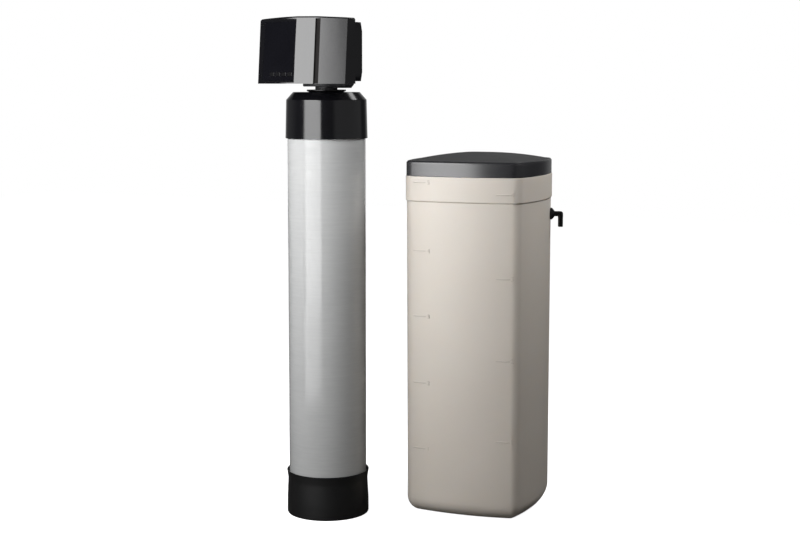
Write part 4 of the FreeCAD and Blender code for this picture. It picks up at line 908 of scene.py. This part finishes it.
# Studio: one tall soft light left of the camera, made of upright panels on a circle round the object. A
# storey is its middle height, its height, its strength and its panels: azimuth, degrees wide and share of
# strength. The panels show only in reflections, the soft lights give the shade alone, and the back light
# does both; each of these is its spot, its aim, its size and its strength. A side of the world is its
# direction, the cosines at which its brighter patch starts and is full, and its strength
studio = {"distance": 1.05, "ambient": 0.04, "dim": 0.015, "floorReach": 9.0,
          "storeys": ((0.26, 0.28, 2.4, ((-36, 4, 0.35), (-13, 42, 1.0), (10.5, 5, 0.7), (15.5, 5, 0.3))),
                      (0.8, 0.8, 3.5, ((-30.5, 3, 0.5), (-7, 44, 1.0), (16, 2, 0.5))),
                      (1.6, 0.8, 4.9, ((-36, 4, 0.35), (-14.75, 38.5, 1.0), (5.75, 2.5, 0.85),
                                       (8.25, 2.5, 0.6), (10.75, 2.5, 0.4), (14, 4, 0.2)))),
          "soft": {"nearLeft": ((-0.45, -1.25, 1.35), (0, 0, 1.25), 1.2, 6.2),
                   "nearRight": ((0.25, -1.3, 1.35), (0.2, 0, 1.25), 1.2, 1.1),
                   "rightNear": ((1.3, 0.4, 1.75), (0.5, 0.3, 0.7), 0.6, 4.5),
                   "rightHigh": ((1.65, 0.9, 2.2), (0.45, 0.3, 0.7), 0.8, 7.5)},
          "back": ((0.71, 1.67, 2.97), (0.1, 0.1, 1.1), 0.5, 2.6),
          "sides": (((0.985, 0.174, 0), 0.62, 0.76, 0.15), ((-0.985, 0.174, 0), 0.76, 0.96, 0.09),
                    ((-0.488, 0.873, 0), 0.80, 0.97, 0.35))}


# a rectangular light at a spot that faces its target; strength is its radiance, white being one
def areaLight(name, spot, target, width, height, strength):
    data = bpy.data.lights.new(name, "AREA")
    data.shape = "RECTANGLE"
    data.size = width
    data.size_y = height
    data.energy = strength * width * height * math.pi
    light = bpy.data.objects.new(name, data)
    bpy.context.scene.collection.objects.link(light)
    light.location = spot
    light.rotation_mode = "QUATERNION"
    light.rotation_quaternion = (Vector(target) - Vector(spot)).to_track_quat("-Z", "Y")
    light.visible_camera = False
    return light


def makeStudio():
    s = studio
    for storey, (height, tall, strength, panels) in enumerate(s["storeys"]):
        for column, (degrees, wide, share) in enumerate(panels):
            azimuth = math.radians(degrees)
            x, y = s["distance"] * math.sin(azimuth), -s["distance"] * math.cos(azimuth)
            width = 2 * s["distance"] * math.tan(math.radians(wide / 2))
            spot, target = (x, y, height), (0, 0, height)
            panel = areaLight(f"key{storey}{column}", spot, target, width, tall, strength * share)
            panel.visible_diffuse = False
    for name, (spot, target, size, strength) in s["soft"].items():
        areaLight(name, spot, target, size, size, strength).visible_glossy = False
    spot, target, size, strength = s["back"]
    areaLight("backHigh", spot, target, size, size, strength)


# the surroundings are white to the camera and dim as fill; in reflections they are dim too, with a brighter
# patch at each side and one straight behind the object
def makeWorld():
    world = bpy.data.worlds.new("studioWorld")
    bpy.context.scene.world = world
    world.use_nodes = True
    nodes, links = world.node_tree.nodes, world.node_tree.links
    background = nodes["Background"]
    background.inputs["Color"].default_value = (1, 1, 1, 1)
    path = nodes.new("ShaderNodeLightPath")
    direction = nodes.new("ShaderNodeTexCoord")
    sides = []
    for toward, start, end, strength in studio["sides"]:
        facing = nodes.new("ShaderNodeVectorMath")
        facing.operation = "DOT_PRODUCT"
        facing.inputs[1].default_value = toward
        links.new(direction.outputs["Generated"], facing.inputs[0])
        sides.append(spread(nodes, links, facing.outputs["Value"], studio["dim"], strength, start, end))
    both = combine(nodes, links, sides[0], 1.0, sides[1], 1.0)
    around = combine(nodes, links, both, 1.0, sides[2], 1.0)
    fill = nodes.new("ShaderNodeMix")
    fill.inputs["B"].default_value = studio["ambient"]
    links.new(path.outputs["Is Diffuse Ray"], fill.inputs["Factor"])
    links.new(around, fill.inputs["A"])
    seen = nodes.new("ShaderNodeMix")
    seen.inputs["B"].default_value = 1.0
    links.new(path.outputs["Is Camera Ray"], seen.inputs["Factor"])
    links.new(fill.outputs["Result"], seen.inputs["A"])
    links.new(seen.outputs["Result"], background.inputs["Strength"])


def makeFloor():
    mesh = bpy.data.meshes.new("studioFloor")
    reach = studio["floorReach"]
    corners = [(-reach, -reach, 0), (reach, -reach, 0), (reach, reach, 0), (-reach, reach, 0)]
    mesh.from_pydata(corners, [], [(0, 1, 2, 3)])
    floor = bpy.data.objects.new("studioFloor", mesh)
    bpy.context.scene.collection.objects.link(floor)
    material, nodes, links, shader = newFinish("paperFloor")  # bright to the camera, dim to the rest
    seen = nodes.new("ShaderNodeLightPath").outputs["Is Camera Ray"]
    links.new(spread(nodes, links, seen, 0.0, 0.96, 0.0, 1.0), shader.inputs["Emission Strength"])
    bounce = tint(nodes, links, seen, (0.085, 0.08, 0.075), (0.9, 0.9, 0.9), 0.0, 1.0)
    links.new(bounce, shader.inputs["Base Color"])
    shader.inputs["Roughness"].default_value = 0.7
    shader.inputs["Emission Color"].default_value = (1, 1, 1, 1)
    mesh.materials.append(material)


def makeCamera():
    camera = bpy.data.cameras.new("photoCamera")
    camera.lens = 69.488
    camera.sensor_width = 36.0
    camera.shift_x = -0.0011
    camera.shift_y = -0.0496
    carrier = bpy.data.objects.new("photoCamera", camera)
    bpy.context.scene.collection.objects.link(carrier)
    azimuth, pitch = math.radians(29.183), 0.0935
    level = math.cos(pitch)
    look = Vector((-math.sin(azimuth) * level, math.cos(azimuth) * level, -math.sin(pitch)))
    carrier.location = (2.179, -3.496, 1.1609)
    carrier.rotation_mode = "QUATERNION"
    carrier.rotation_quaternion = look.to_track_quat("-Z", "Y")
    bpy.context.scene.camera = carrier


makeStudio()
makeWorld()
makeFloor()
makeCamera()
bpy.context.scene.view_settings.view_transform = "Standard"
print("studio set")
